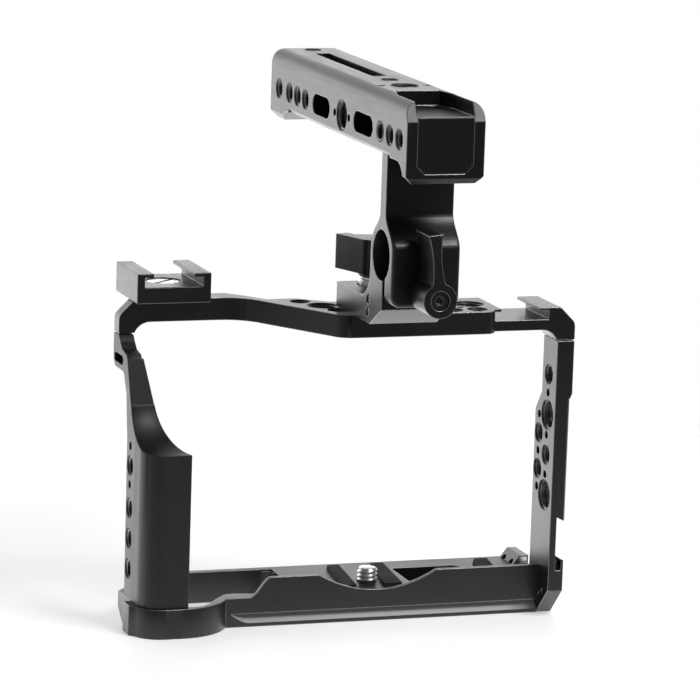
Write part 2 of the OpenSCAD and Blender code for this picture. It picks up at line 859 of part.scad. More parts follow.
// Screws from the far side plate into the base's end, as y, z
base_side_places = [[-6.9, base_under + 2.2], [-6.9, base_under + 7.2]];
base_screw_radius = 1;
base_side_length = 7;
base_side_head = 1.9;
base_side_seat = boss_outer - 1.6;
small_hex = 0.8;

module base_side_bores() {
    for (p = base_side_places) {
        rod_x(far_inner - 1, boss_outer + 1, p[0], p[1], base_screw_radius + screw_gap);
        rod_x(base_side_seat, boss_outer + 1, p[0], p[1], base_side_head + screw_gap);
    }
}

module base_side_screws() {
    color(black_steel)
        for (p = base_side_places) {
            rod_x(far_inner - base_side_length, base_side_seat + eps, p[0], p[1], base_screw_radius);
            difference() {
                rod_x(base_side_seat, boss_outer - 0.3, p[0], p[1], base_side_head);
                rod_x(base_side_seat + 0.7, boss_outer + 1, p[0], p[1], small_hex, $fn = 6);
            }
        }
}

// Screws from below into the grip side plate, as x, y
base_bottom_places = [
    [grip_x + grip_wall / 2, strip_back - 1.9], [grip_x + grip_wall / 2, -strip_front + 1.9]
];
base_bottom_head_z = base_under + 2.2;
base_bottom_head = 1.7;
base_bottom_reach = rim_top + 6;

module base_screw_bores(extra) {
    for (p = base_bottom_places)
        rod_z(base_under - 1, base_bottom_reach + 0.1, p[0], p[1], base_screw_radius + turn_gap + extra);
}

module base_bottom_screws() {
    color(black_steel)
        for (p = base_bottom_places) {
            rod_z(base_bottom_head_z - eps, base_bottom_reach, p[0], p[1], base_screw_radius);
            difference() {
                rod_z(base_bottom_head_z - 1.4, base_bottom_head_z, p[0], p[1], base_bottom_head);
                rod_z(base_under - 1, base_bottom_head_z - 0.7, p[0], p[1], small_hex, $fn = 6);
            }
        }
}

// Outline of the base with the rim that bulges forward under the grip
module base_plan() {
    polygon([
        [far_inner, -base_front], [far_inner, cheek_y], [far_reach, cheek_y],
        [far_reach, base_back - 1], [far_reach - 1, base_back], [-62, base_back],
        [grip_x + 1, lug_back + 0.8], [grip_x, lug_back - 0.4], [grip_x, -strip_front],
        [-48, -base_front]
    ]);
    intersection() {
        union() {
            translate([rim_small_x, rim_small_radius - rim_front])
                circle(r = rim_small_radius);
            translate([rim_large_x, rim_large_radius - rim_front])
                circle(r = rim_large_radius);
            translate([rim_small_x, -rim_front])
                square([rim_large_x - rim_small_x, rim_front]);
        }
        translate([rim_left - 1, -rim_front - 1])
            square([-rim_left - 47, rim_front + 1 - strip_front + 1.5]);
    }
}

// Front lip seen from the front, with its ramp and the lens-clearance arc, in X and Z
module lip_profile() {
    ramp = [
        for (i = [0 : ramp_steps])
            [
                ramp_start + ramp_length * i / ramp_steps,
                rim_top + (lip_height - rim_top) * (1 - cos(180 * i / ramp_steps)) / 2
            ]
    ];
    difference() {
        polygon(concat([[ramp_start, rim_top - 1]], ramp, [[far_inner, lip_height], [far_inner, rim_top - 1]]));
        translate([0, lens_radius])
            circle(r = lens_radius, $fn = 128);
    }
}

// Opening for the camera's battery door
module battery_cut() {
    translate([0, 0, base_under - 1])
        linear_extrude(base_thick + 2)
            polygon(concat(
                [
                    [battery_left + 6, base_back - rear_rail], [battery_left, base_back - rear_rail - 6.5],
                    [battery_left, -rim_front + 4.6],
                    [battery_left + 2, -rim_front + 2.6], [-58, -rim_front + 2.8], [-54.4, -14.6],
                    [-51, -9.6], [-47, -5], [-44, -4.4], [-38, -5.8], [-battery_end - 1.5, -6.4],
                    [-battery_end, -5]
                ],
                arc([-battery_end - battery_corner, base_back - rear_rail - battery_corner],
                    battery_corner, 0, 90)
            ));
}

// Dovetail groove along the front wall; it ends in a cutter run-out
module front_groove() {
    reach = groove_depth + groove_flange;
    along_x(cutter_x, far_inner + 1)
        polygon([
            [-base_front - groove_flange, base_under],
            [-base_front - groove_flange + reach, groove_ceiling],
            [-base_front - groove_flange, groove_ceiling]
        ]);
    translate([cutter_x, -base_front + groove_depth - cutter_radius, base_under])
        cylinder(h = reach, r1 = cutter_radius - reach, r2 = cutter_radius);
}

module rear_groove() {
    reach = groove_depth + groove_flange;
    along_x(-battery_end + 6, far_reach + 1)
        polygon([
            [base_back + groove_flange, base_under],
            [base_back + groove_flange - reach, groove_ceiling],
            [base_back + groove_flange, groove_ceiling]
        ]);
}

// Recess in the base for a pad
module pad_recess(plan) {
    translate([0, 0, -pad_seat])
        linear_extrude(pad_seat + 1)
            polygon(plan);
}

module base_plate() {
    color(anodised)
        difference() {
            union() {
                translate([0, 0, base_under])
                    linear_extrude(base_thick - rim_drop)
                        base_plan();
                translate([0, 0, rim_top - eps])
                    linear_extrude(rim_drop + eps)
                        intersection() {
                            base_plan();
                            union() {
                                translate([-battery_end, -base_front])
                                    square([far, far]);
                                translate([-62, base_back - rear_rail])
                                    square([far, far]);
                            }
                        }
                along_y(-base_front, -base_front + lip_wall)
                    lip_profile();
            }
            battery_cut();
            front_groove();
            rear_groove();
            base_pocket();
            pad_recess(pad_left_plan);
            pad_recess(pad_right_plan);
            pad_recess(pad_rear_plan);
            camera_screw_hole();
            base_screw_recess();
            base_screw_bores(screw_gap - turn_gap);
            base_side_threads();
            stop_screw_hole();
            lug_cuts();
        }
}

// Slanted underside and strap slot of the lug behind the strip
module lug_cuts() {
    along_x(rim_left - 1, strip_inner)
        polygon([
            [lug_foot[0], base_under], [lug_back, lug_foot[1]], [far, lug_foot[1]],
            [far, base_under - 1], [lug_foot[0], base_under - 1]
        ]);
    translate([lug_strap[0][0], lug_strap[1][0], base_under - 1])
        cube([lug_strap[0][1] - lug_strap[0][0], lug_strap[1][1] - lug_strap[1][0], base_thick + 2]);
}

module base_pocket() {
    translate([0, 0, pocket_floor])
        linear_extrude(far)
            polygon([
                pocket_low, [pocket_low[0] + pocket_size[0] - 3, pocket_low[1]],
                [pocket_low[0] + pocket_size[0], pocket_low[1] + 3],
                [pocket_low[0] + pocket_size[0], pocket_low[1] + pocket_size[1] - 2],
                [pocket_low[0] + pocket_size[0] - 2, pocket_low[1] + pocket_size[1]],
                [pocket_low[0], pocket_low[1] + pocket_size[1]]
            ]);
}

module camera_screw_hole() {
    rod_z(base_under - 1, camera_recess_top, 0, 0, camera_recess_radius);
    rod_z(base_under - 1, 1, 0, 0, camera_hole_radius);
}

module base_screw_recess() {
    for (p = base_bottom_places)
        rod_z(base_under - 1, base_bottom_head_z, p[0], p[1], base_bottom_head + screw_gap);
}

module base_side_threads() {
    for (p = base_side_places)
        rod_x(far_inner - base_side_length - 0.2, far_inner + 1, p[0], p[1], base_screw_radius + turn_gap);
}

module stop_screw_hole() {
    rod_z(base_under - 1, 1, stop_screw[0], stop_screw[1], stop_screw_radius + screw_gap);
    rod_z(base_under - 1, stop_screw_seat, stop_screw[0], stop_screw[1], stop_screw_head + screw_gap);
}

// Bevelled block that stops the camera from turning
module anti_twist_block() {
    color(grey_block)
        difference() {
            along_y(stop_front, stop_back)
                polygon([
                    [stop_left, 0], [stop_left + stop_slope, stop_height],
                    [stop_right, stop_height], [stop_right, 0]
                ]);
            for (y = stop_notches)
                rod_x(stop_left - 1, stop_left + stop_slope / 2, y, 0, stop_notch_radius);
            rod_z(-1, stop_screw_top + 0.2, stop_screw[0], stop_screw[1], stop_screw_radius + turn_gap);
            translate([insert_low[0], stop_front - 1, insert_low[1]])
                cube([insert_size[0], insert_size[1] + 1, insert_size[2]]);
        }
}

// Bright steel piece in the front end of the anti-twist block
module anti_twist_insert() {
    color(bare_steel)
        translate([insert_low[0] + turn_gap, stop_front + 0.1, insert_low[1] + turn_gap])
            cube([insert_size[0] - 2 * turn_gap, insert_size[1] - 0.1, insert_size[2] - 2 * turn_gap]);
}

module anti_twist_screw() {
    color(bare_steel)
        difference() {
            union() {
                rod_z(stop_screw_seat - eps, stop_screw_top, stop_screw[0], stop_screw[1], stop_screw_radius);
                rod_z(base_under + 0.5, stop_screw_seat, stop_screw[0], stop_screw[1], stop_screw_head);
            }
            rod_z(base_under - 1, base_under + 1.6, stop_screw[0], stop_screw[1], small_hex, $fn = 6);
        }
}

// Rubber pad with ribs across it
module ribbed_pad(plan) {
    low = min([for (p = plan) p[1]]);
    high = max([for (p = plan) p[1]]);
    ribs = floor((high - low) / pad_pitch);
    pitch = (high - low) / ribs;
    color(rubber)
        difference() {
            translate([0, 0, -pad_seat])
                linear_extrude(pad_seat + pad_rise)
                    polygon(plan);
            for (i = [1 : ribs - 1])
                translate([-far / 2, low + i * pitch - pitch / 6, pad_rise - pad_groove])
                    cube([far, pitch / 3, 1]);
        }
}

module pad_left() {
    ribbed_pad(pad_left_plan);
}

module pad_right() {
    ribbed_pad(pad_right_plan);
}

module pad_rear() {
    ribbed_pad(pad_rear_plan);
}

module camera_screw() {
    color(bare_steel)
        difference() {
            union() {
                rod_z(camera_head_bottom, camera_head_top, 0, 0, camera_head / 2);
                rod_z(camera_head_top - eps, camera_neck_top, 0, 0, camera_neck_radius);
                rod_z(camera_neck_top - eps, camera_thread_rise - camera_tip, 0, 0, camera_thread_radius);
                translate([0, 0, camera_thread_rise - camera_tip - eps])
                    cylinder(h = camera_tip + eps, r1 = camera_thread_radius,
                        r2 = camera_thread_radius - camera_tip);
            }
            translate([-far / 2, -camera_slot[0] / 2, base_under - 1])
                cube([far, camera_slot[0], camera_head_bottom + camera_slot[1] - base_under]);
        }
}

module camera_screw_washer() {
    color(bare_steel)
        difference() {
            rod_z(camera_head_top + 0.05, camera_recess_top, 0, 0, camera_head / 2 - 1);
            rod_z(camera_head_top - 1, camera_recess_top + 1, 0, 0, camera_neck_radius + screw_gap);
        }
}

module left_cold_shoe() {
    color(anodised)
        difference() {
            translate([-block_x - block_width / 2, block_front, top_height])
                cube([block_width, block_depth, block_height]);
            shoe_cut(-block_x, block_front - 1, block_front + block_depth + 1, top_height + block_height,
                block_lip, block_slot_height);
            rod_z(top_height - 1, top_height + block_height, -block_x, block_y, shoe_screw_radius + screw_gap);
            rod_z(shoe_seat, top_height + block_height, -block_x, block_y, shoe_head / 2 + screw_gap);
        }
}

module shoe_screw() {
    head_top = shoe_seat + shoe_head_height;
    color(bare_steel)
        difference() {
            union() {
                rod_z(slab_under + 1.4, shoe_seat + eps, -block_x, block_y, shoe_screw_radius);
                rod_z(shoe_seat, head_top, -block_x, block_y, shoe_head / 2);
            }
            translate([-block_x, block_y, head_top - shoe_coin_slot[1]])
                rotate([0, 0, shoe_coin_turn])
                    translate([-far / 2, -shoe_coin_slot[0] / 2, 0])
                        cube([far, shoe_coin_slot[0], 1]);
        }
}

// Smooth step from y0 at z0 to y1 at z1, upright at both ends
function blend(y0, z0, y1, z1) = [
    for (i = [0 : curve_steps])
        [y0 + (y1 - y0) * (1 - cos(180 * i / curve_steps)) / 2, z0 + (z1 - z0) * i / curve_steps]
];

function arc(centre, r, a0, a1) = [
    for (i = [0 : curve_steps])
        let (a = a0 + (a1 - a0) * i / curve_steps)
            [centre[0] + r * cos(a), centre[1] + r * sin(a)]
];

function reverse(list) = [for (i = [len(list) - 1 : -1 : 0]) list[i]];

// Side outline of the stem, in Y and Z: foot, clamp ring and upper plate
module stem_profile() {
    ring_top = [rod_y + ring_radius * cos(ring_leave), rod_z + ring_radius * sin(ring_leave)];
    difference() {
        polygon(concat(
            [[slit_y, jaw_bottom], [clamp_front, jaw_bottom]],
            blend(clamp_front, neck_low, plate_front, neck_top),
            [[plate_front, relief_z], [plate_back, relief_z]],
            reverse(blend(ring_top[0], ring_top[1], plate_back, rod_z + 12.2)),
            arc([rod_y, rod_z], ring_radius, ring_leave, 0),
            arc([ring_back + foot_fillet, foot_top + foot_fillet], foot_fillet, 180, 270),
            [
                [-foot_back, foot_top], [-foot_back, top_height], [-foot_front, top_height],
                [slit_y, foot_chamfer_top]
            ]
        ));
        translate([rod_y, rod_z])
            circle(r = rod_radius);
        translate([slit_y - slit_width / 2, top_height - 1])
            square([slit_width, rod_z - top_height]);
    }
}

module handle_stem() {
    color(anodised)
        difference() {
            along_x(stem_left, stem_right)
                stem_profile();
            jaw_corners();
            rounded_edge();
            rod_y(clamp_front - 1, slit_y, stem_mid, clamp_z, stud_radius + screw_gap);
            rod_y(slit_y, stud_end + 0.4, stem_mid, clamp_z, stud_radius + turn_gap);
            rod_z(top_height - 1, foot_top, stem_mid, foot_y, foot_thread / 2 + turn_gap);
            rod_z(collar_seat, foot_top + 1, stem_mid, foot_y, collar_diameter / 2 + collar_recess);
            for (side = [-1, 1]) {
                rod_z(top_height - 1, top_height + pin_depth, stem_mid + side * pin_spacing / 2,
                    foot_y, pin_radius + turn_gap);
                rod_z(relief_z - 9, relief_z + 1, stem_mid + side * stem_screw_spacing / 2,
                    plate_front + stem_plate / 2, stem_screw_radius + turn_gap);
            }
            foot_set_holes(turn_gap, 1);
        }
}

module jaw_corners() {
    for (side = [0, 1])
        along_y(clamp_front - 1, slit_y)
            difference() {
                translate([side == 0 ? stem_left - eps : stem_right - jaw_corner, jaw_bottom - eps])
                    square(jaw_corner + eps);
                translate([side == 0 ? stem_left + jaw_corner : stem_right - jaw_corner, jaw_bottom + jaw_corner])
                    circle(r = jaw_corner);
            }
}

// One edge of the clamp's front from the neck down to the middle of the jaw's foot, as
// [point, direction towards the face's middle, radius], for the left side (-1) or the right (1)
function clamp_edge(side) =
    let (
        half = stem_width / 2,
        neck = blend(clamp_front, neck_low, plate_front, neck_top)
    )
    concat(
        [
            for (i = [curve_steps : -1 : 0])
                [
                    [stem_mid + side * half, neck[i][0], neck[i][1]], [-side, 0, 0],
                    max(0.05, clamp_round * cos(90 * i / curve_steps))
                ]
        ],
        [
            for (i = [0 : round_steps * 2])
                let (
                    t = 90 * i / (round_steps * 2),
                    out = [side * cos(t), 0, -sin(t)]
                )
                    [
                        [stem_mid + side * (half - jaw_corner), clamp_front, jaw_bottom + jaw_corner]
                            + jaw_corner * out,
                        -out, clamp_round
                    ]
        ]
    );

// Cutter that rounds the clamp's front edges, swept down one side, along the foot and up the other
module rounded_edge() {
    path = concat(clamp_edge(-1), reverse(clamp_edge(1)));
    back = [0, 1, 0];
    sides = round_steps + 4;
    rings = len(path);
    points = [
        for (e = path)
            let (p = e[0], inward = e[1], r = e[2])
                each concat(
                    [p - inward - back, p + r * inward - back],
                    [
                        for (i = [0 : round_steps])
                            let (t = 90 * i / round_steps)
                                p + r * (1 - sin(t)) * inward + r * (1 - cos(t)) * back
                    ],
                    [p - inward + r * back]
                )
    ];
    walls = [
        for (k = [0 : rings - 2], j = [0 : sides - 1])
            let (a = k * sides + j, b = k * sides + (j + 1) % sides)
                each [[a, a + sides, b], [b, a + sides, b + sides]]
    ];
    ends = [[for (j = [0 : sides - 1]) j], [for (j = [sides - 1 : -1 : 0]) (rings - 1) * sides + j]];
    polyhedron(points = points, faces = concat(walls, ends));
}

foot_set_radius = 1.45;
foot_set_places = [[-34.3, foot_top - 0.3], [-34.1, foot_top - 4.1]];
foot_set_length = 4;

module foot_set_holes(gap, open) {
    for (p = foot_set_places)
        rod_x(stem_left - open, stem_left + foot_set_length + 0.6, p[0], p[1], foot_set_radius + gap);
}

module foot_set_screws() {
    color(bare_steel)
        for (p = foot_set_places)
            difference() {
                rod_x(stem_left + 0.5, stem_left + 0.5 + foot_set_length, p[0], p[1], foot_set_radius);
                rod_x(stem_left, stem_left + 1.5, p[0], p[1], small_hex, $fn = 6);
            }
}

module foot_locating_pins() {
    color(bare_steel)
        for (side = [-1, 1])
            rod_z(top_height - pin_depth + 0.3, top_height + pin_depth - 0.1,
                stem_mid + side * pin_spacing / 2, foot_y, pin_radius);
}

// Cross-section of the handle bar, in X and Z, down to the given height
module handle_section(low, bevel) {
    intersection() {
        union() {
            for (x = [handle_left + handle_round, handle_right - handle_round])
                translate([x, handle_top - handle_round])
                    circle(r = handle_round);
            translate([handle_left + handle_round, low])
                square([handle_width - 2 * handle_round, handle_top - low]);
            translate([handle_left, low])
                square([handle_width, handle_top - handle_round - low]);
        }
        polygon([
            [handle_left, far], [handle_left, low + bevel], [handle_left + bevel, low],
            [handle_right - bevel, low], [handle_right, low + bevel], [handle_right, far]
        ]);
    }
}

// Side outline of the handle bar with its finger relief, in Y and Z
module handle_side() {
    difference() {
        polygon([
            [-handle_front, handle_top], [-handle_front, handle_low + 1.5], [-handle_front + 1.3, handle_low],
            [-handle_front + 2.4, handle_low], [-handle_front + 2.4 + end_drop, relief_z],
            [handle_back - 15.5, relief_z], [handle_back - 7.5, rear_low], [handle_back - 1.5, rear_low],
            [handle_back, rear_low + 2.2], [handle_back, handle_top]
        ]);
        translate([-handle_front + 2.4 + end_drop, handle_low])
            circle(r = end_drop);
    }
}

module pocket_plan() {
    back = pocket_back_width / 2;
    front = pocket_front_width / 2;
    polygon([
        [handle_mid - front, -handle_front - 1], [handle_mid - front, pocket_back - pocket_corner],
        [handle_mid - back, pocket_back], [handle_mid + back, pocket_back],
        [handle_mid + front, pocket_back - pocket_corner], [handle_mid + front, -handle_front - 1]
    ]);
}

module cap_outline(gap) {
    half = cap_width / 2 + gap;
    low = cap_low - gap;
    high = pocket_floor_z + gap;
    polygon([
        [handle_mid - half, low + cap_corner], [handle_mid - half + cap_corner, low],
        [handle_mid + half - cap_corner, low], [handle_mid + half, low + cap_corner],
        [handle_mid + half, high], [handle_mid - half, high]
    ]);
}

module side_slot(y0, y1) {
    r = side_slot_height / 2;
    for (y = [y0 + r, y1 - r])
        rod_x(handle_left - 1, handle_right + 1, y, side_hole_z, r);
    translate([handle_left - 1, y0 + r, side_hole_z - r])
        cube([handle_width + 2, y1 - y0 - 2 * r, 2 * r]);
}

// Tapped holes that stop short of the stem screws
module side_blind_holes() {
    difference() {
        tapped_x(handle_left, handle_right, side_blind_hole, side_hole_z, quarter_bore);
        translate([handle_left + side_blind_depth, side_blind_hole - quarter_bore, side_hole_z - quarter_bore])
            cube([handle_width - 2 * side_blind_depth, 2 * quarter_bore, 2 * quarter_bore]);
    }
}

module handle_bar() {
    color(anodised)
        difference() {
            intersection() {
                along_x(handle_left, handle_right)
                    handle_side();
                union() {
                    along_y(-handle_front, -handle_front + 14)
                        handle_section(handle_low, 2.2);
                    along_y(-handle_front + 14 - eps, handle_back - 18)
                        handle_section(relief_z, 1.2);
                    along_y(handle_back - 18 - eps, handle_back)
                        handle_section(rear_low, 2.2);
                }
            }
            translate([0, 0, pocket_floor_z])
                linear_extrude(far)
                    pocket_plan();
            along_x(handle_left - 1, handle_right + 1)
                polygon([
                    [-handle_front - 1, handle_top - 7.6], [-handle_front + 3.6, handle_top + 1],
                    [-handle_front - 1, handle_top + 1]
                ]);
            along_y(-handle_front - 1, -handle_front + cap_thick)
                cap_outline(cap_gap);
            for (y = side_quarter_holes)
                tapped_x(handle_left, handle_right, y, side_hole_z, quarter_bore);
            tapped_x(handle_left, handle_right, side_big_hole, side_hole_z, big_bore);
            side_blind_holes();
            for (y = side_small_holes)
                rod_x(handle_left - 1, handle_right + 1, y, side_hole_z, locating_bore / 2);
            for (s = side_slots)
                side_slot(s[0], s[1]);
            translate([handle_mid - long_slot[0] / 2, long_slot_y, handle_top - long_slot[2]])
                cube([long_slot[0], long_slot[1], long_slot[2] + 1]);
            rod_z(handle_top - 7, handle_top + 1, handle_mid, top_big_hole, big_bore / 2);
            for (y = top_quarter_holes)
                rod_z(handle_top - 7, handle_top + 1, handle_mid, y, quarter_bore / 2);
            for (side = [-1, 1]) {
                rod_z(handle_top - 4, handle_top + 1, handle_mid + side * 7, top_big_hole, locating_bore / 2);
                rod_z(relief_z - 1, handle_top, handle_mid + side * stem_screw_spacing / 2,
                    plate_front + stem_plate / 2, stem_screw_radius + screw_gap);
                rod_z(stem_screw_seat, handle_top, handle_mid + side * stem_screw_spacing / 2,
                    plate_front + stem_plate / 2, stem_screw_head + screw_gap);
            }
        }
}

module handle_front_cap() {
    color(anodised)
        along_y(-handle_front + 0.2, -handle_front + cap_thick)
            cap_outline(0);
}

module stem_screws() {
    color(black_steel)
        for (side = [-1, 1]) {
            x = handle_mid + side * stem_screw_spacing / 2;
            y = plate_front + stem_plate / 2;
            rod_z(relief_z - 8, stem_screw_seat + eps, x, y, stem_screw_radius);
            difference() {
                rod_z(stem_screw_seat, stem_screw_seat + 2.4, x, y, stem_screw_head);
                rod_z(stem_screw_seat + 1, far, x, y, 1.4, $fn = 6);
            }
        }
}

module clamp_stud() {
    color(bare_steel)
        difference() {
            union() {
                rod_y(stud_head_back - eps, stud_end, stem_mid, clamp_z, stud_radius);
                rod_y(stud_head_front, stud_head_back, stem_mid, clamp_z, stud_head_radius);
            }
            rod_y(stud_head_front - 1, stud_head_front + stud_thread_depth, stem_mid, clamp_z,
                lever_screw_radius + 0.02);
        }
}

// Waisted arm of the clamp lever, drawn upright from the hub's axis
module arm_outline() {
    root = stud_head_radius + 0.7;
    waist = 11.5;
    waist_half = 1.3;
    flare = 0.85 / ((arm_length - waist) * (arm_length - waist));
    left = [
        for (i = [0 : 12])
            let (t = root + (arm_length - root) * i / 12)
                [-(waist_half + flare * (t - waist) * (t - waist)), t]
    ];
    polygon(concat(left, reverse([for (p = left) [-p[0], p[1]]])));
}

module rod_clamp_lever() {
    color(black_steel)
        difference() {
            union() {
                rod_y(lever_front, lever_back, stem_mid, clamp_z, hub_diameter / 2);
                translate([stem_mid, 0, clamp_z])
                    rotate([0, -arm_lean, 0])
                        along_y(lever_front, lever_front + arm_depth)
                            arm_outline();
            }
            rod_y(web_back, lever_back + 1, stem_mid, clamp_z, stud_head_radius + turn_gap);
            rod_y(lever_front - 1, web_front, stem_mid, clamp_z, lever_screw_head + turn_gap);
            rod_y(web_front - 1, web_back + 1, stem_mid, clamp_z, lever_screw_radius + turn_gap);
        }
}

module lever_screw() {
    color(black_steel)
        difference() {
            union() {
                rod_y(lever_screw_front, lever_screw_back, stem_mid, clamp_z, lever_screw_head);
                rod_y(lever_screw_back - eps, stud_head_front + stud_thread_depth - 0.2, stem_mid, clamp_z,
                    lever_screw_radius);
            }
            translate([stem_mid, lever_screw_front + 1, clamp_z])
                rotate([90, 0, 0])
                    cylinder(h = 2, r = hex_across / 2, $fn = 6);
        }
}

// Spring between the lever's web and the screw's head, as stacked coils
module lever_spring() {
    color(bare_steel)
        for (i = [0 : spring_turns])
            translate([
                stem_mid,
                lever_screw_back + spring_wire + 0.02
                    + i * (web_front - lever_screw_back - 2 * spring_wire - 0.04) / spring_turns,
                clamp_z
            ])
                rotate([90, 0, 0])
                    rotate_extrude()
                        translate([spring_radius, 0])
                            circle(r = spring_wire, $fn = 16);
}

module foot_screw() {
    color(bare_steel)
        difference() {
            union() {
                rod_z(slab_under + 0.6, collar_seat + 0.05 + eps, stem_mid, foot_y, foot_thread / 2);
                rod_z(collar_seat + 0.05, collar_top, stem_mid, foot_y, collar_diameter / 2);
                rod_z(collar_top - eps, post_top, stem_mid, foot_y, post_radius);
            }
            rod_z(post_top - post_thread_depth, post_top + 1, stem_mid, foot_y, paddle_screw_radius + 0.02);
        }
}

module paddle_washer() {
    color(black_steel)
        difference() {
            rod_z(collar_top, paddle_bottom, stem_mid, foot_y, collar_diameter / 2 + 0.2);
            rod_z(collar_top - 1, paddle_bottom + 1, stem_mid, foot_y, post_radius + 0.02);
        }
}

// Outline of the paddle, with its arm along Y and the screw's axis at the origin
module paddle_plan() {
    half = paddle_hub / 2;
    arm_inner = paddle_thick - half;
    polygon([
        [-half, paddle_length], [-half, paddle_step_y], [paddle_step - half, paddle_step_y - paddle_step],
        [paddle_step - half, hub_bevel - half], [paddle_step + hub_bevel - half, -half],
        [half - hub_bevel, -half], [half, hub_bevel - half], [half, half / 2],
        [half - 1.5, half], [arm_inner, half + 3.5], [arm_inner, paddle_length]
    ]);
}

module paddle_lever() {
    color(black_steel)
        translate([stem_mid, foot_y, 0])
            rotate([0, 0, paddle_turn])
                difference() {
                    translate([0, 0, paddle_bottom])
                        linear_extrude(paddle_height)
                            paddle_plan();
                    rod_z(paddle_bottom - 1, post_top + 0.02, 0, 0, post_radius + 0.02);
                    rod_z(post_top - 1, paddle_top + 1, 0, 0, paddle_screw_radius + screw_gap);
                    rod_z(paddle_screw_seat, paddle_top + 1, 0, 0, paddle_screw_head + 0.1);
                }
}

module paddle_screw() {
    color(black_steel)
        difference() {
            union() {
                rod_z(post_top - post_thread_depth + 0.2, paddle_screw_seat + eps, stem_mid, foot_y,
                    paddle_screw_radius);
                rod_z(paddle_screw_seat, paddle_top - 0.3, stem_mid, foot_y, paddle_screw_head);
            }
            rod_z(paddle_top - 1.3, far, stem_mid, foot_y, paddle_screw_hex, $fn = 6);
        }
}

top_frame();
grip_side_plate();
right_side_plate();
base_plate();
seam_dowels();
seam_set_screws();
base_side_screws();
base_bottom_screws();
left_cold_shoe();
shoe_screw();
camera_screw();
camera_screw_washer();
pad_left();
pad_right();
pad_rear();
anti_twist_block();
anti_twist_insert();
anti_twist_screw();
handle_bar();
handle_front_cap();
handle_stem();
stem_screws();
clamp_stud();
rod_clamp_lever();
lever_spring();
lever_screw();
foot_screw();
paddle_lever();
paddle_screw();
paddle_washer();
foot_set_screws();
foot_locating_pins();
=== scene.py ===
"""Dresses the camera cage: machined and anodised metal, cut threads, turned screws and the studio stage."""

import json
import math

import bmesh
import bpy
from mathutils import Matrix, Vector


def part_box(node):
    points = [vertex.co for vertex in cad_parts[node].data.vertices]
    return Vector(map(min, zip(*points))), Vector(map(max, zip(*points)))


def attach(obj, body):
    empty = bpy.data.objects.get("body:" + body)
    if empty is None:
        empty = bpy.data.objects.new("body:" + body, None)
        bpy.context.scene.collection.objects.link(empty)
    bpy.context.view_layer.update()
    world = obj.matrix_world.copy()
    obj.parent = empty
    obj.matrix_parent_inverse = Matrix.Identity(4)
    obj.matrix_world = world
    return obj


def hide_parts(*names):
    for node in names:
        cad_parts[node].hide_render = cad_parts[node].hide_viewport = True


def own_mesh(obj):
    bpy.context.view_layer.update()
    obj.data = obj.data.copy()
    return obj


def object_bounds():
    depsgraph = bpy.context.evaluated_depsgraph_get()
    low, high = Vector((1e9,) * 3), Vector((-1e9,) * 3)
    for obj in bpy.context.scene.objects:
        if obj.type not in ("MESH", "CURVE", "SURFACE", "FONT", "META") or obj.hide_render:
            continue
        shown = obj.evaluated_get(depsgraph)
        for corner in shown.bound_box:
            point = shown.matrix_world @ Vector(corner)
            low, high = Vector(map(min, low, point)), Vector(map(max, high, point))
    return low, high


bl_info = {
    "name": "Camera Cage Dressing",
    "version": (1, 0, 0),
    "blender": (4, 5, 0),
    "location": "3D View > Sidebar > Cage",
    "description": "Finishes, threads and screws of a machined camera cage with a top handle",
    "category": "Object",
}

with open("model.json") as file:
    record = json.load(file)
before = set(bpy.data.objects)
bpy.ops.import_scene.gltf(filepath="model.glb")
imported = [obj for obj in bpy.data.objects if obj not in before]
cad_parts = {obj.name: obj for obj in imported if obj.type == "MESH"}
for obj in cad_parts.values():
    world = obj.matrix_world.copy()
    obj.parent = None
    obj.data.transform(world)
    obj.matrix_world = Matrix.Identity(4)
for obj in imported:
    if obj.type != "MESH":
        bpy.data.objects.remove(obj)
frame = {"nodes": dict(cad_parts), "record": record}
cad_low, cad_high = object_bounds()

MM = 0.001
MOUNTS = {m["name"]: m for m in frame["record"]["mounts"]}

# The CAD parts that keep their shape and get a finish
MACHINED = [
    "top_frame", "grip_side_plate", "right_side_plate", "base_plate",
    "left_cold_shoe", "handle_bar", "handle_front_cap", "handle_stem",
]
LEVERS = ["rod_clamp_lever", "paddle_lever"]
DARK_SCREWS = [
    "base_side_screws", "base_bottom_screws", "stem_screws",
    "lever_screw", "paddle_screw", "paddle_washer",
]
BRIGHT_PARTS = [
    "seam_dowels", "seam_set_screws", "camera_screw_washer", "anti_twist_insert", "anti_twist_screw",
    "clamp_stud", "foot_set_screws", "foot_locating_pins",
]
PADS = ["pad_left", "pad_right", "pad_rear"]
# Machined parts with a finish of their own; the others are plain "anodised"
OWN_FINISH = {
    "handle_bar": "anodised handle", "handle_front_cap": "anodised handle",
    "left_cold_shoe": "anodised handle", "base_plate": "anodised base", "grip_side_plate": "anodised matte",
}
# The bevel would tear the handle's sides, which are single faces with many holes,
# so only the shader softens its edges
SHARP_MESH = ("handle_bar",)

# A hair's breadth, left between surfaces that would otherwise lie in one another
SLIVER = 0.01 * MM
# Crest radius of the 1/4 inch threads
QUARTER_CREST = 3.1 * MM
# Share of the pitch that is flat in the groove, and again on the crest
THREAD_FLAT = 0.12
# A tapped hole is lined throughout up to this half length, and a longer one by the run from each end
LINED_HALF = 4 * MM
LINED_RUN = 6 * MM
# Gap between a bore's wall and its thread liner, at the grooves and at the liner's back
LINER_GAP = 0.02 * MM
LINER_BACK_GAP = 0.004 * MM
# Height of the threads at the ends of a liner, as a share of their full height
LINER_END = 0.15
PAD_EDGE_BREAK = 0.1 * MM
# Points closer than this are joined before the edges are broken
WELD_GAP = 0.002 * MM
# In degrees: faces that lie flatter than the first become one, corners over the second get
# the bevel, and edges over the third stay sharp on turned pieces
FLAT_ANGLE = 0.3
BEVEL_ANGLE = 28
SHARP_ANGLE = 32
KNURL_DEPTH = 0.18 * MM
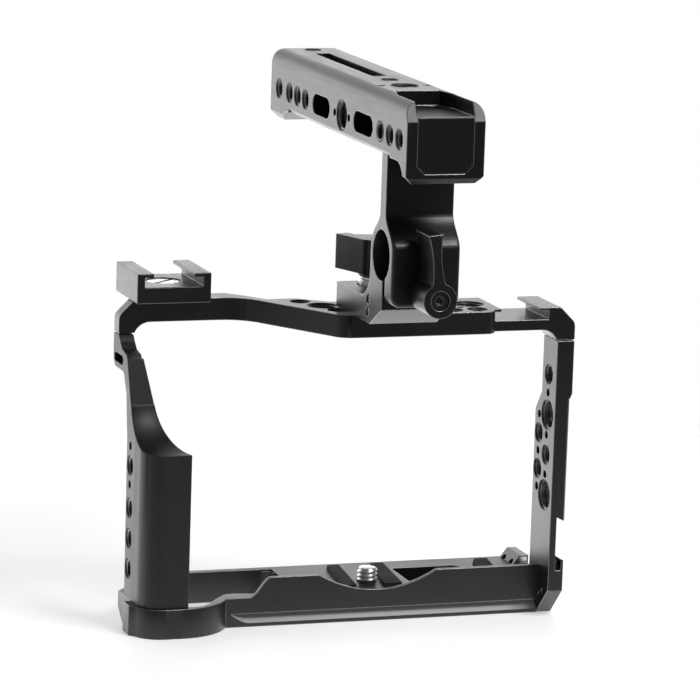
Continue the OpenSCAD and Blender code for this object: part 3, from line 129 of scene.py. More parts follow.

# Edges: radius of the softening, share of bare metal and painted edge highlight that shows there, and its
# colour
EDGE_RADIUS = 0.45 * MM
EDGE_WEAR_AND_HIGHLIGHT = 0.9
BARE_METAL_AND_HIGHLIGHT = (0.6, 0.6, 0.61)
# Painted light on the up-facing cut slopes of the base's grooves: middle and half of their height range, and
# the lighter colour painted there
GROOVE_ZONE = (-7.4 * MM, 1.9 * MM)
GROOVE_PAINTED_LIGHT = (0.5, 0.5, 0.51)
# How far a face of that slope points up, and how much more or less still counts
SLOPE_TILT = (0.7, 0.15)
# Colours of the dust on coated metal, on bare metal and on rubber
COATED_DUST = (0.25, 0.25, 0.26)
BARE_DUST = (0.4, 0.4, 0.4)
RUBBER_DUST = (0.12, 0.12, 0.12)
# The part of a noise's range that most of its surface lies in
NOISE_MIDDLE = (0.25, 0.75)
# Depth of the relief on metal and on rubber
METAL_RELIEF = 0.02 * MM
RUBBER_RELIEF = 0.05 * MM
# How much the tool marks add to the roughness
MARK_ROUGHNESS = 0.06

# Each metal finish. The colour is one of CageFinish's. A stretch under 1 draws the tool marks out along
# that axis. Grain and mark are the strengths of the relief, wear is the share of the usual edge wear and
# painted edge highlight, spread is how much lighter the pale patches are, and cut is the painted light colour
# of the base's cut slopes.
METAL_FINISHES = {
    "anodised": {
        "colour": "anodised", "metallic": 0.0, "roughness": 0.3, "stretch": (1, 1, 0.05),
        "grain": 0.25, "mark": 0.12},
    "anodised base": {
        "colour": "anodised", "metallic": 0.0, "roughness": 0.36, "stretch": (1, 1, 0.05),
        # cut paints light on the base's up-facing groove slopes
        "grain": 0.3, "mark": 0.12, "cut": GROOVE_PAINTED_LIGHT},
    "anodised matte": {
        "colour": "anodised", "metallic": 0.0, "roughness": 0.42, "stretch": (1, 1, 0.05),
        "grain": 0.3, "mark": 0.12, "wear_and_highlight": 0.25},
    "anodised handle": {
        "colour": "anodised", "metallic": 0.0, "roughness": 0.3, "stretch": (1, 0.05, 1),
        "grain": 0.25, "mark": 0.12},
    "lever black": {
        "colour": "lever", "metallic": 0.0, "roughness": 0.3, "stretch": (1, 1, 0.08),
        "grain": 0.3, "mark": 0.1},
    "black oxide": {
        "colour": "dark_screw", "metallic": 0.6, "roughness": 0.36, "stretch": (1, 1, 1),
        "grain": 0.2, "mark": 0.15},
    "bright steel": {
        "colour": "bright_steel", "metallic": 1.0, "roughness": 0.26, "stretch": (0.3, 0.3, 3),
        "grain": 0.1, "mark": 0.2, "spread": 1.1},
    "stop block metal": {
        "colour": "block", "metallic": 0.7, "roughness": 0.34, "stretch": (1, 0.1, 1),
        "grain": 0.2, "mark": 0.15},
}

# The camera's angles are azimuth from the front towards the grip, elevation and roll, in degrees
CAMERA_ANGLES = (19.04, 10.70, 1.89)
# Lens and width of the sensor, in millimetres
CAMERA_LENS = 223.73
CAMERA_SENSOR = 36
CAMERA_DISTANCE = 1.31266
CAMERA_TARGET = (-0.00791, 0, 0.07211)
# The floor: half of its width, its gap under the cage, and the distances where it starts and ends fading
FLOOR_HALF = 1.4
FLOOR_GAP = 0.02 * MM
FLOOR_FADE = (0.14, 0.42)
# How much the floor glows for the camera
FLOOR_LIFT = 0.45
# Reflections of the floor get so many times that lift, before the cage and behind it, and where it turns
MIRROR_FRONT = 0.4
MIRROR_BACK = 5.0
MIRROR_TURN = (-0.05, 0.05)
# Level of the studio before the cage, behind it and at its sides, where 1 is white
STUDIO_FRONT = 0.1
STUDIO_BACK = 1.0
STUDIO_SIDES = 0.4
# Where a direction turns from the front level to the back one, and to the sides' level
BACK_TURN = (0.4, 0.85)
SIDE_TURN = (0.6, 0.9)
# Each soft light is name, place, width, height and power, and all of them point at the same spot
STUDIO_LIGHTS = [
    ("lit backdrop", (-0.35, 1.6, -0.05), 2.8, 1.2, 16),
    ("overhead softbox", (0.4, -0.62, 1.0), 0.5, 0.5, 8),
]
LIGHT_AIM = (-0.01, -0.005, 0.06)


class CageFinish(bpy.types.PropertyGroup):
    """Colours of the cage's finishes"""
    anodised: bpy.props.FloatVectorProperty(
        name="Anodised metal", description="Colour of the black anodised frame", subtype="COLOR", size=3,
        default=(0.006, 0.006, 0.0065), min=0, max=1)
    lever: bpy.props.FloatVectorProperty(
        name="Lever metal", description="Colour of the clamp lever and the paddle", subtype="COLOR", size=3,
        default=(0.007, 0.007, 0.0075), min=0, max=1)
    dark_screw: bpy.props.FloatVectorProperty(
        name="Dark screws", description="Colour of the black socket screws", subtype="COLOR", size=3,
        default=(0.03, 0.03, 0.032), min=0, max=1)
    bright_steel: bpy.props.FloatVectorProperty(
        name="Bright steel", description="Colour of the bare steel screws", subtype="COLOR", size=3,
        default=(0.66, 0.66, 0.67), min=0, max=1)
    rubber: bpy.props.FloatVectorProperty(
        name="Rubber", description="Colour of the base's grip pads", subtype="COLOR", size=3,
        default=(0.012, 0.012, 0.012), min=0, max=1)
    block: bpy.props.FloatVectorProperty(
        name="Stop block", description="Colour of the block that keeps the camera from turning",
        subtype="COLOR", size=3, default=(0.08, 0.08, 0.085), min=0, max=1)
    floor: bpy.props.FloatVectorProperty(
        name="Floor", description="Colour of the studio floor", subtype="COLOR", size=3,
        default=(0.9, 0.9, 0.9), min=0, max=1)


class CageSizes(bpy.types.PropertyGroup):
    """Sizes of the details that the dressing adds"""
    edge_break: bpy.props.FloatProperty(
        name="Edge break", description="Width of the small bevel along every machined edge", unit="LENGTH",
        default=0.25 * MM, min=0, max=1 * MM)
    screw_edge_break: bpy.props.FloatProperty(
        name="Screw edge break", description="Width of the small bevel on screws", unit="LENGTH",
        default=0.12 * MM, min=0, max=0.5 * MM)
    thread_pitch: bpy.props.FloatProperty(
        name="Thread pitch", description="Distance from one thread to the next, in the holes and on screws",
        unit="LENGTH", default=1.27 * MM, min=0.5 * MM, max=2 * MM)
    thread_depth: bpy.props.FloatProperty(
        name="Thread depth", description="Height of the threads in the tapped holes", unit="LENGTH",
        default=0.4 * MM, min=0.1 * MM, max=0.8 * MM)
    knurl_teeth: bpy.props.IntProperty(
        name="Knurl teeth", description="Number of teeth round a knurled head", default=48, min=12, max=96)


# Mesh helpers

def new_piece(name, verts, faces, smooth=True):
    """A new object in the scene, smooth but for its sharp edges"""
    mesh = bpy.data.meshes.new(name)
    mesh.from_pydata([tuple(v) for v in verts], [], faces)
    mesh.update()
    b = bmesh.new()
    b.from_mesh(mesh)
    bmesh.ops.recalc_face_normals(b, faces=b.faces)
    b.to_mesh(mesh)
    b.free()
    obj = bpy.data.objects.new(name, mesh)
    bpy.context.scene.collection.objects.link(obj)
    if smooth:
        mesh.shade_smooth()
        mesh.set_sharp_from_angle(angle=math.radians(SHARP_ANGLE))
    return obj


def add_ring(verts, place, z, sides, radius_at):
    """Adds a ring of points at one height, with the radius that radius_at gives for each angle"""
    for i in range(sides):
        a = 2 * math.pi * i / sides
        r = radius_at(a)
        verts.append(place @ Vector((r * math.cos(a), r * math.sin(a), z)))


def band(first, second, sides):
    """Faces between two rings, each given by the number of its first point"""
    return [
        [first + i, first + (i + 1) % sides, second + (i + 1) % sides, second + i]
        for i in range(sides)]


def turned(name, rings, place, sides, radius_at=None):
    """A turned solid: rings are (radius, height), with a flat face at both ends"""
    verts, faces = [], []
    for r, z in rings:
        add_ring(verts, place, z, sides, lambda a: radius_at(r, z, a) if radius_at else r)
    for k in range(len(rings) - 1):
        faces += band(k * sides, (k + 1) * sides, sides)
    faces.append(list(range(sides))[::-1])
    faces.append([(len(rings) - 1) * sides + i for i in range(sides)])
    return new_piece(name, verts, faces)


def thread_rings(low, high, pitch, rows=8):
    """Heights of a thread's rings, so many rows to each turn"""
    count = max(2, int(round((high - low) / pitch * rows)))
    return [low + (high - low) * k / count for k in range(count + 1)]


def thread_wave(z, angle, pitch):
    """0 in the groove and 1 on the crest"""
    phase = (z / pitch - angle / (2 * math.pi)) % 1
    return min(1, max(0, (abs(phase - 0.5) * 2 - THREAD_FLAT) / (1 - 2 * THREAD_FLAT)))


def axis_matrix(centre, axis):
    """Places local Z along the axis at the centre"""
    turn = Vector((0, 0, 1)).rotation_difference(Vector(axis)).to_matrix().to_4x4()
    return Matrix.Translation(Vector(centre)) @ turn


def tapped_liner(verts, faces, place, radius, low, high, pitch, depth, sides=40):
    """Adds the threads of one tapped hole, as a thin ring inside its bore"""
    heights = thread_rings(low, high, pitch)
    base = len(verts)
    run_in = 0.5 * pitch
    for z in heights:
        fade = min(1, (z - low) / run_in + LINER_END, (high - z) / run_in + LINER_END)
        add_ring(
            verts, place, z, sides,
            lambda a: radius - LINER_GAP - depth * fade * thread_wave(z, a, pitch))
    for z in (heights[-1], heights[0]):
        add_ring(verts, place, z, sides, lambda a: radius - LINER_BACK_GAP)
    loops = len(heights) + 2
    for k in range(loops):
        faces += band(base + k * sides, base + (k + 1) % loops * sides, sides)


def cut_slot(head, half_length, half_width, low, high, place=Matrix()):
    """Cuts a coin slot into the head, between two heights, and applies the cut"""
    verts = [
        place @ Vector((x, y, z))
        for x in (-half_length, half_length) for y in (-half_width, half_width) for z in (low, high)]
    faces = [[0, 1, 3, 2], [4, 6, 7, 5], [0, 4, 5, 1], [2, 3, 7, 6], [0, 2, 6, 4], [1, 5, 7, 3]]
    cutter = new_piece("slot", verts, faces, smooth=False)
    cut = head.modifiers.new("cut", "BOOLEAN")
    cut.operation = "DIFFERENCE"
    cut.solver = "EXACT"
    cut.object = cutter
    depsgraph = bpy.context.evaluated_depsgraph_get()
    mesh = bpy.data.meshes.new_from_object(head.evaluated_get(depsgraph))
    head.modifiers.clear()
    head.data = mesh
    bpy.data.objects.remove(cutter)


def break_edges(obj, width, segments=2):
    """Small bevel along the sharp edges of a machined piece"""
    weld = obj.modifiers.new("join faces", "WELD")
    weld.merge_threshold = WELD_GAP
    flat = obj.modifiers.new("flat faces", "DECIMATE")
    flat.decimate_type = "DISSOLVE"
    flat.angle_limit = math.radians(FLAT_ANGLE)
    bevel = obj.modifiers.new("edge break", "BEVEL")
    bevel.width = width
    bevel.segments = segments
    bevel.limit_method = "ANGLE"
    bevel.angle_limit = math.radians(BEVEL_ANGLE)
    bevel.use_clamp_overlap = True
    bevel.miter_outer = "MITER_ARC"


def dress(obj, material, body=None):
    """Gives the piece its material and, where a body is given, hangs it on that body"""
    obj.data.materials.clear()
    obj.data.materials.append(material)
    if body:
        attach(obj, body)


# Shader helpers. A place is where a node stands in the shader editor.

FLOAT = "NodeSocketFloat"
VECTOR = "NodeSocketVector"
# A Mix node has several sockets of each name, so its colour sockets are told by their numbers
MIX_UNDER = 6
MIX_OVER = 7
MIX_RESULT = 2


def feed(tree, node, values):
    """Fills the node's inputs: a socket is linked, a number set, and a colour given full alpha"""
    for key, value in values.items():
        socket = node.inputs[key]
        if isinstance(value, bpy.types.NodeSocket):
            tree.links.new(value, socket)
        elif socket.type == "RGBA":
            socket.default_value = (*value, 1)
        else:
            socket.default_value = value


def shader_node(tree, kind, place, values=None, **settings):
    """A new node with its settings and the values of its inputs"""
    node = tree.nodes.new(kind)
    node.location = place
    for key, value in settings.items():
        setattr(node, key, value)
    feed(tree, node, values or {})
    return node


def math_value(tree, operation, place, *values):
    """The result of a Math node on these numbers or sockets"""
    node = shader_node(tree, "ShaderNodeMath", place, dict(enumerate(values)), operation=operation)
    return node.outputs[0]


def map_range(tree, source, from_range, to_range, place, curve="LINEAR"):
    """The source, carried from one range of values to another and held to its ends"""
    values = dict(enumerate((source, *from_range, *to_range)))
    node = shader_node(tree, "ShaderNodeMapRange", place, values, interpolation_type=curve)
    return node.outputs[0]


def colour_mix(tree, factor, under, over, place):
    """The under colour where the factor is 0 and the over colour where it is 1"""
    values = {0: factor, MIX_UNDER: under, MIX_OVER: over}
    node = shader_node(tree, "ShaderNodeMix", place, values, data_type="RGBA")
    return node.outputs[MIX_RESULT]


def new_group(name, inputs, outputs):
    """A shader group: inputs are (name, kind, default) and outputs are (name, kind)"""
    tree = bpy.data.node_groups.new(name, "ShaderNodeTree")
    for label, kind, value in inputs:
        socket = tree.interface.new_socket(label, in_out="INPUT", socket_type=kind)
        socket.default_value = value
    for label, kind in outputs:
        tree.interface.new_socket(label, in_out="OUTPUT", socket_type=kind)
    return tree


def blast_grain_group():
    """Fine blasted grain of anodised metal: a height and a patchy tone"""
    tree = new_group(
        "blasted grain", [("Grain Scale", FLOAT, 9000), ("Patch Scale", FLOAT, 60)],
        [("Height", FLOAT), ("Patch", FLOAT)])
    given = shader_node(tree, "NodeGroupInput", (-800, -300))
    coord = shader_node(tree, "ShaderNodeTexCoord", (-800, 0))
    grain = shader_node(tree, "ShaderNodeTexNoise", (-500, 150), {
        "Vector": coord.outputs["Object"], "Scale": given.outputs["Grain Scale"],
        "Detail": 2.0, "Roughness": 0.6})
    patch = shader_node(tree, "ShaderNodeTexNoise", (-500, -150), {
        "Vector": coord.outputs["Object"], "Scale": given.outputs["Patch Scale"],
        "Detail": 4.0, "Roughness": 0.55})
    shader_node(tree, "NodeGroupOutput", (0, 0), {
        "Height": grain.outputs["Fac"], "Patch": patch.outputs["Fac"]})
    return tree


def tool_mark_group():
    """Faint parallel marks that a milling tool leaves, along one direction"""
    tree = new_group(
        "tool marks", [("Stretch", VECTOR, (1, 1, 1)), ("Scale", FLOAT, 1500)],
        [("Height", FLOAT), ("Tone", FLOAT)])
    given = shader_node(tree, "NodeGroupInput", (-900, -300))
    coord = shader_node(tree, "ShaderNodeTexCoord", (-900, 0))
    drawn_out = shader_node(tree, "ShaderNodeVectorMath", (-700, 0), {
        0: coord.outputs["Object"], 1: given.outputs["Stretch"]}, operation="MULTIPLY")
    marks = shader_node(tree, "ShaderNodeTexNoise", (-450, 0), {
        "Vector": drawn_out.outputs["Vector"], "Scale": given.outputs["Scale"],
        "Detail": 3.0, "Roughness": 0.7})
    tone = map_range(tree, marks.outputs["Fac"], (0.3, 0.7), (0.0, 1.0), (-200, -100))
    shader_node(tree, "NodeGroupOutput", (0, 0), {"Height": marks.outputs["Fac"], "Tone": tone})
    return tree


def handling_group():
    """Rubbed spots and fine dust that tell a used surface"""
    tree = new_group(
        "handling marks",
        [("Rub Scale", FLOAT, 35), ("Dust Scale", FLOAT, 1400), ("Dust Amount", FLOAT, 0.2)],
        [("Rub", FLOAT), ("Dust", FLOAT)])
    given = shader_node(tree, "NodeGroupInput", (-900, -300))
    coord = shader_node(tree, "ShaderNodeTexCoord", (-900, 0))
    rub = shader_node(tree, "ShaderNodeTexNoise", (-600, 150), {
        "Vector": coord.outputs["Object"], "Scale": given.outputs["Rub Scale"],
        "Detail": 6.0, "Roughness": 0.65})
    specks = shader_node(tree, "ShaderNodeTexVoronoi", (-600, -150), {
        "Vector": coord.outputs["Object"], "Scale": given.outputs["Dust Scale"]})
    dots = map_range(tree, specks.outputs["Distance"], (0.06, 0.02), (0.0, 1.0), (-350, -150))
    dust = math_value(tree, "MULTIPLY", (-150, -150), dots, given.outputs["Dust Amount"])
    shader_node(tree, "NodeGroupOutput", (0, 0), {"Rub": rub.outputs["Fac"], "Dust": dust})
    return tree


def edge_group():
    """Softened normals along the edges, and a mask of the edges themselves"""
    tree = new_group("softened edges", [("Radius", FLOAT, 0.3 * MM)], [("Normal", VECTOR), ("Edge", FLOAT)])
    given = shader_node(tree, "NodeGroupInput", (-900, 0))
    soft = shader_node(tree, "ShaderNodeBevel", (-700, 0), {"Radius": given.outputs["Radius"]}, samples=6)
    face = shader_node(tree, "ShaderNodeNewGeometry", (-700, -250))
    alike = shader_node(tree, "ShaderNodeVectorMath", (-450, -100), {
        0: soft.outputs["Normal"], 1: face.outputs["Normal"]}, operation="DOT_PRODUCT")
    edge = map_range(tree, alike.outputs["Value"], (0.97, 0.78), (0.0, 1.0), (-200, -100))
    shader_node(tree, "NodeGroupOutput", (0, 0), {"Normal": soft.outputs["Normal"], "Edge": edge})
    return tree


def lit_slope_group():
    """Mask of the up-facing sloping faces that the groove cutter left low on the base, where light is painted
    """
    tree = new_group("cut slopes", [], [("Slope", FLOAT)])
    coord = shader_node(tree, "ShaderNodeTexCoord", (-900, 0))
    face = shader_node(tree, "ShaderNodeNewGeometry", (-900, -250))
    spot = shader_node(tree, "ShaderNodeSeparateXYZ", (-700, 0), {"Vector": coord.outputs["Object"]})
    turn = shader_node(tree, "ShaderNodeSeparateXYZ", (-700, -250), {"Vector": face.outputs["Normal"]})
    low = math_value(tree, "COMPARE", (-450, 0), spot.outputs["Z"], *GROOVE_ZONE)
    tilt = math_value(tree, "COMPARE", (-450, -250), turn.outputs["Z"], *SLOPE_TILT)
    both = math_value(tree, "MULTIPLY", (-200, -100), low, tilt)
    shader_node(tree, "NodeGroupOutput", (0, 0), {"Slope": both})
    return tree


GROUPS = {}


def place_group(tree, maker, place, values=None):
    """Places the group that the maker builds, which is built once, with its own values"""
    if maker not in GROUPS:
        GROUPS[maker] = maker()
    return shader_node(tree, "ShaderNodeGroup", place, values, node_tree=GROUPS[maker])


def new_material(name):
    """A new material with its nodes and its Principled shader"""
    m = bpy.data.materials.new(name)
    m.use_nodes = True
    return m, m.node_tree, m.node_tree.nodes["Principled BSDF"]


def metal_finish(name, colour, metallic, roughness, stretch, grain, mark, spread=1.35, wear_and_highlight=1.0, cut=None):
    """A blasted or milled metal: relief of grain and tool marks, rubbed gloss, dust, bare edges that are
    partly painted highlight, and painted light on the base's cut slopes
    """
    m, tree, shader = new_material(name)
    coated = metallic < 0.5
    blast = place_group(tree, blast_grain_group, (-1100, -200), {"Grain Scale": 7000, "Patch Scale": 45})
    marks = place_group(tree, tool_mark_group, (-1100, -450), {"Stretch": stretch, "Scale": 900})
    worn = place_group(tree, handling_group, (-1100, 150), {"Dust Amount": 0.25})
    edges = place_group(tree, edge_group, (-1100, 450), {"Radius": EDGE_RADIUS})
    # Bare metal on every edge, concave ones too: partly edge wear, partly painted highlight
    bared_and_highlit = math_value(tree, "MULTIPLY", (-700, 500), edges.outputs["Edge"], EDGE_WEAR_AND_HIGHLIGHT * wear_and_highlight)

    lighter = tuple(min(1, c * spread + 0.002) for c in colour)
    tone = colour_mix(tree, blast.outputs["Patch"], colour, lighter, (-700, 300))
    dust = COATED_DUST if coated else BARE_DUST
    tone = colour_mix(tree, worn.outputs["Dust"], tone, dust, (-450, 300))
    tone = colour_mix(tree, bared_and_highlit, tone, BARE_METAL_AND_HIGHLIGHT, (-250, 300))
    # Painted light: the up-facing cut slopes of the base's grooves get a lighter colour
    if cut:
        slope = place_group(tree, lit_slope_group, (-250, 600))
        tone = colour_mix(tree, slope.outputs["Slope"], tone, cut, (0, 300))

    rubbed = map_range(
        tree, worn.outputs["Rub"], NOISE_MIDDLE, (roughness * 0.9, roughness * 1.12), (-700, 50))
    streak = math_value(tree, "MULTIPLY", (-450, 50), marks.outputs["Tone"], MARK_ROUGHNESS)
    gloss = math_value(tree, "ADD", (-250, 50), rubbed, streak)
    fine = shader_node(tree, "ShaderNodeBump", (-450, -250), {
        "Strength": grain, "Distance": METAL_RELIEF,
        "Height": blast.outputs["Height"], "Normal": edges.outputs["Normal"]})
    lines = shader_node(tree, "ShaderNodeBump", (-250, -350), {
        "Strength": mark, "Distance": METAL_RELIEF,
        "Height": marks.outputs["Height"], "Normal": fine.outputs["Normal"]})
    feed(tree, shader, {
        "Base Color": tone, "Metallic": bared_and_highlit if coated else metallic,
        "Roughness": gloss, "Normal": lines.outputs["Normal"]})
    return m


def rubber_finish(name, colour):
    """Grained rubber: patches and dust in the colour, rubbing in the gloss"""
    m, tree, shader = new_material(name)
    blast = place_group(tree, blast_grain_group, (-1100, -200), {"Grain Scale": 3500, "Patch Scale": 160})
    worn = place_group(tree, handling_group, (-1100, 150), {"Dust Amount": 0.5})
    lighter = tuple(c * 1.8 + 0.004 for c in colour)
    tone = colour_mix(tree, blast.outputs["Patch"], colour, lighter, (-700, 300))
    tone = colour_mix(tree, worn.outputs["Dust"], tone, RUBBER_DUST, (-450, 300))
    rubbed = map_range(tree, worn.outputs["Rub"], NOISE_MIDDLE, (0.6, 0.8), (-450, 50))
    bump = shader_node(tree, "ShaderNodeBump", (-300, -250), {
        "Strength": 0.5, "Distance": RUBBER_RELIEF, "Height": blast.outputs["Height"]})
    feed(tree, shader, {
        "Base Color": tone, "Roughness": rubbed, "Specular IOR Level": 0.3, "Normal": bump.outputs["Normal"]})
    return m


MATERIALS = {}


def finish(name):
    """The named finish, made once"""
    if name not in MATERIALS:
        colours = bpy.context.scene.cage_finish
        if name == "pad rubber":
            MATERIALS[name] = rubber_finish(name, tuple(colours.rubber))
        else:
            settings = dict(METAL_FINISHES[name])
            colour = getattr(colours, settings.pop("colour"))
            MATERIALS[name] = metal_finish(name, tuple(colour), **settings)
    return MATERIALS[name]


# Operators, one for each piece or group of like pieces

class CAGE_OT_machined_parts(bpy.types.Operator):
    """Finishes the milled and anodised parts and breaks their edges"""
    bl_idname = "cage.machined_parts"
    bl_label = "Machined parts"

    def execute(self, context):
        width = context.scene.cage_sizes.edge_break
        for name in MACHINED:
            obj = frame["nodes"][name]
            dress(obj, finish(OWN_FINISH.get(name, "anodised")))
            if name not in SHARP_MESH:
                break_edges(obj, width)
        return {"FINISHED"}


class CAGE_OT_tapped_holes(bpy.types.Operator):
    """Cuts the threads that line the tapped holes"""
    bl_idname = "cage.tapped_holes"
    bl_label = "Tapped holes"

    def execute(self, context):
        sizes = context.scene.cage_sizes
        verts, faces = [], []
        # Two of the top slab's tapped holes are recorded as another kind of mount
        for mount in MOUNTS.values():
            if mount["kind"] != "threaded_hole" and not mount["name"].startswith("top_"):
                continue
            place = axis_matrix(mount["pos_m"], mount["axis"])
            half = mount["dims"]["length_mm"] * MM / 2
            radius = mount["dims"]["r_mm"] * MM
            spans = [(-half, -half + LINED_RUN), (half - LINED_RUN, half)]
            if half < LINED_HALF:
                spans = [(-half, half)]
            for low, high in spans:
                tapped_liner(verts, faces, place, radius, low, high, sizes.thread_pitch, sizes.thread_depth)
        obj = new_piece("tapped_threads", verts, faces)
        dress(obj, finish("anodised"), "cage")
        return {"FINISHED"}


class CAGE_OT_camera_screw(bpy.types.Operator):
    """Cuts the camera screw's thread and turns its slotted head"""
    bl_idname = "cage.camera_screw"
    bl_label = "Camera screw"

    def execute(self, context):
        sizes = context.scene.cage_sizes
        low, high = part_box("camera_screw")
        head_top = low.z + 2.3 * MM
        head_radius = high.x - SLIVER
        thread_start = 0.6 * MM
        self.cut_thread(sizes.thread_pitch, head_top, thread_start, high.z)
        self.turn_head(sizes.knurl_teeth, head_radius, low.z, head_top)
        return {"FINISHED"}

    def cut_thread(self, pitch, head_top, start, end):
        """The neck from the head up, and the thread from start to end"""
        neck = 2.45 * MM
        depth = 0.55 * MM

        def wave(r, z, a):
            if z < start + SLIVER or z > end - 0.3 * MM:
                return r
            return r - depth * (1 - thread_wave(z, a, pitch))

        rings = [(neck, head_top - 0.2 * MM), (neck, start - SLIVER)]
        rings += [(QUARTER_CREST, z) for z in thread_rings(start + 0.02 * MM, end - 0.65 * MM, pitch, 10)]
        rings += [(QUARTER_CREST - 0.55 * MM, end - 0.1 * MM), (QUARTER_CREST - 0.8 * MM, end)]
        thread = turned("camera_screw_thread", rings, Matrix(), 48, wave)
        dress(thread, finish("bright steel"), "camera_screw")
        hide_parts("camera_screw")

    def turn_head(self, teeth, radius, low, top):
        """The knurled head with a coin slot in its underside"""
        def knurl(r, z, a):
            if r < radius - 0.1 * MM:
                return r
            return r - KNURL_DEPTH * (0.5 + 0.5 * math.cos(a * teeth))

        # Round the lower chamfer, up the knurled rim and round the upper chamfer
        rings = [
            (radius - 0.7 * MM, low), (radius - 0.25 * MM, low + 0.12 * MM),
            (radius, low + 0.4 * MM), (radius, top - 0.4 * MM),
            (radius - 0.3 * MM, top - 0.1 * MM), (radius - 0.8 * MM, top),
        ]
        head = turned("camera_screw_head", rings, Matrix(), teeth * 4, knurl)
        cut_slot(head, 9 * MM, 0.8 * MM, low - 1 * MM, low + 1.3 * MM)
        dress(head, finish("bright steel"), "camera_screw")
        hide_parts("camera_screw")


class CAGE_OT_shoe_screw(bpy.types.Operator):
    """Turns the cold shoe's flush screw with its coin slot"""
    bl_idname = "cage.shoe_screw"
    bl_label = "Shoe screw"

    def execute(self, context):
        low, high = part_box("shoe_screw")
        centre = (low + high) / 2
        radius = (high.x - low.x) / 2 - SLIVER
        shank = 2.5 * MM
        top = high.z
        head_low = top - 1.6 * MM
        place = Matrix.Translation((centre.x, centre.y, 0))
        # Up the shank, round the head's rim and across the fine groove in its top
        rings = [
            (shank, low.z), (shank, head_low - 0.02 * MM), (radius - 0.2 * MM, head_low),
            (radius, head_low + 0.15 * MM), (radius, top - 0.3 * MM), (radius - 0.08 * MM, top - 0.1 * MM),
            (radius - 0.3 * MM, top), (radius - 1.3 * MM, top), (radius - 1.36 * MM, top - 0.08 * MM),
            (radius - 1.5 * MM, top - 0.08 * MM), (radius - 1.56 * MM, top),
        ]
        head = turned("shoe_screw_turned", rings, place, 96)
        slot_turn = math.radians(41)
        slot_place = place @ Matrix.Rotation(slot_turn, 4, "Z")
        cut_slot(head, 8 * MM, 0.6 * MM, top - 0.7 * MM, top + 1 * MM, slot_place)
        dress(head, finish("bright steel"), "cage")
        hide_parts("shoe_screw")
        return {"FINISHED"}


class CAGE_OT_foot_screw(bpy.types.Operator):
    """Turns the foot screw's stepped collar and cuts its thread"""
    bl_idname = "cage.foot_screw"
    bl_label = "Foot screw"

    def execute(self, context):
        pitch = context.scene.cage_sizes.thread_pitch
        low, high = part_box("foot_screw")
        centre = (low + high) / 2
        radius = (high.x - low.x) / 2 - SLIVER
        # The collar runs from its seat on the foot up to the washer
        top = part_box("paddle_washer")[0].z
        seat = top - 4.5 * MM + 0.05 * MM
        place = Matrix.Translation((centre.x, centre.y, 0))
        depth = 0.5 * MM
        neck = 2.6 * MM
        post = 3 * MM
        groove = radius - 0.35 * MM

        def wave(r, z, a):
            if abs(r - QUARTER_CREST) > SLIVER or z > seat:
                return r
            return r - depth * (1 - thread_wave(z, a, pitch))

        rings = [(QUARTER_CREST - 0.6 * MM, low.z)]
        rings += [(QUARTER_CREST, z) for z in thread_rings(low.z + 0.5 * MM, seat - 0.7 * MM, pitch)]
        # The neck, the collar with its groove, and the post that carries the washer and the paddle
        rings += [
            (neck, seat - 0.4 * MM), (neck, seat), (radius - 0.3 * MM, seat + 0.02 * MM),
            (radius, seat + 0.3 * MM), (radius, top - 1.5 * MM), (groove, top - 1.35 * MM),
            (groove, top - 1.1 * MM), (radius, top - 0.95 * MM), (radius, top - 0.3 * MM),
            (radius - 0.3 * MM, top - 0.01 * MM), (post, top), (post, high.z),
        ]
        screw = turned("foot_screw_turned", rings, place, 48, wave)
        dress(screw, finish("bright steel"), "foot_screw")
        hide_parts("foot_screw")
        return {"FINISHED"}


class CAGE_OT_lever_spring(bpy.types.Operator):
    """Winds the spring behind the clamp lever's screw"""
    bl_idname = "cage.lever_spring"
    bl_label = "Lever spring"

    def execute(self, context):
        low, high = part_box("lever_spring")
        centre = (low + high) / 2
        length = high.y - low.y
        # Radius of the wire, and of the coil at the wire's middle
        wire = 0.2 * MM
        coil = (high.x - low.x) / 2 - wire
        turns, steps, sides = 3, 32, 8
        verts, faces = [], []
        count = turns * steps
        for k in range(count + 1):
            t = k / count
            a = 2 * math.pi * turns * t
            y = low.y + wire + (length - 2 * wire) * t
            out = Vector((math.cos(a), 0, math.sin(a)))
            mid = Vector((centre.x, y, centre.z)) + out * coil
            for s in range(sides):
                b = 2 * math.pi * s / sides
                verts.append(mid + out * (wire * math.cos(b)) + Vector((0, wire * math.sin(b), 0)))
        for k in range(count):
            faces += band(k * sides, (k + 1) * sides, sides)
        faces.append(list(range(sides)))
        faces.append([count * sides + s for s in range(sides)])
        obj = new_piece("lever_spring_coil", verts, faces)
        dress(obj, finish("bright steel"), "clamp_screw")
        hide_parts("lever_spring")
        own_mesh(obj)
        return {"FINISHED"}


class CAGE_OT_levers(bpy.types.Operator):
    """Finishes the clamp lever and the paddle"""
    bl_idname = "cage.levers"
    bl_label = "Levers"

    def execute(self, context):
        for name in LEVERS:
            dress(frame["nodes"][name], finish("lever black"))
        break_edges(frame["nodes"]["paddle_lever"], context.scene.cage_sizes.edge_break, 3)
        return {"FINISHED"}


class CAGE_OT_fasteners(bpy.types.Operator):
    """Finishes the small screws, pins and washers"""
    bl_idname = "cage.fasteners"
    bl_label = "Fasteners"

    def execute(self, context):
        width = context.scene.cage_sizes.screw_edge_break
        for names, kind in ((DARK_SCREWS, "black oxide"), (BRIGHT_PARTS, "bright steel")):
            for name in names:
                obj = frame["nodes"][name]
                dress(obj, finish(kind))
                break_edges(obj, width)
        return {"FINISHED"}


class CAGE_OT_base_pads(bpy.types.Operator):
    """Finishes the rubber pads and the stop block on the base"""
    bl_idname = "cage.base_pads"
    bl_label = "Base pads and stop block"

    def execute(self, context):
        for name in PADS:
            obj = frame["nodes"][name]
            dress(obj, finish("pad rubber"))
            break_edges(obj, PAD_EDGE_BREAK)
        block = frame["nodes"]["anti_twist_block"]
        dress(block, finish("stop block metal"))
        break_edges(block, context.scene.cage_sizes.edge_break)
        return {"FINISHED"}


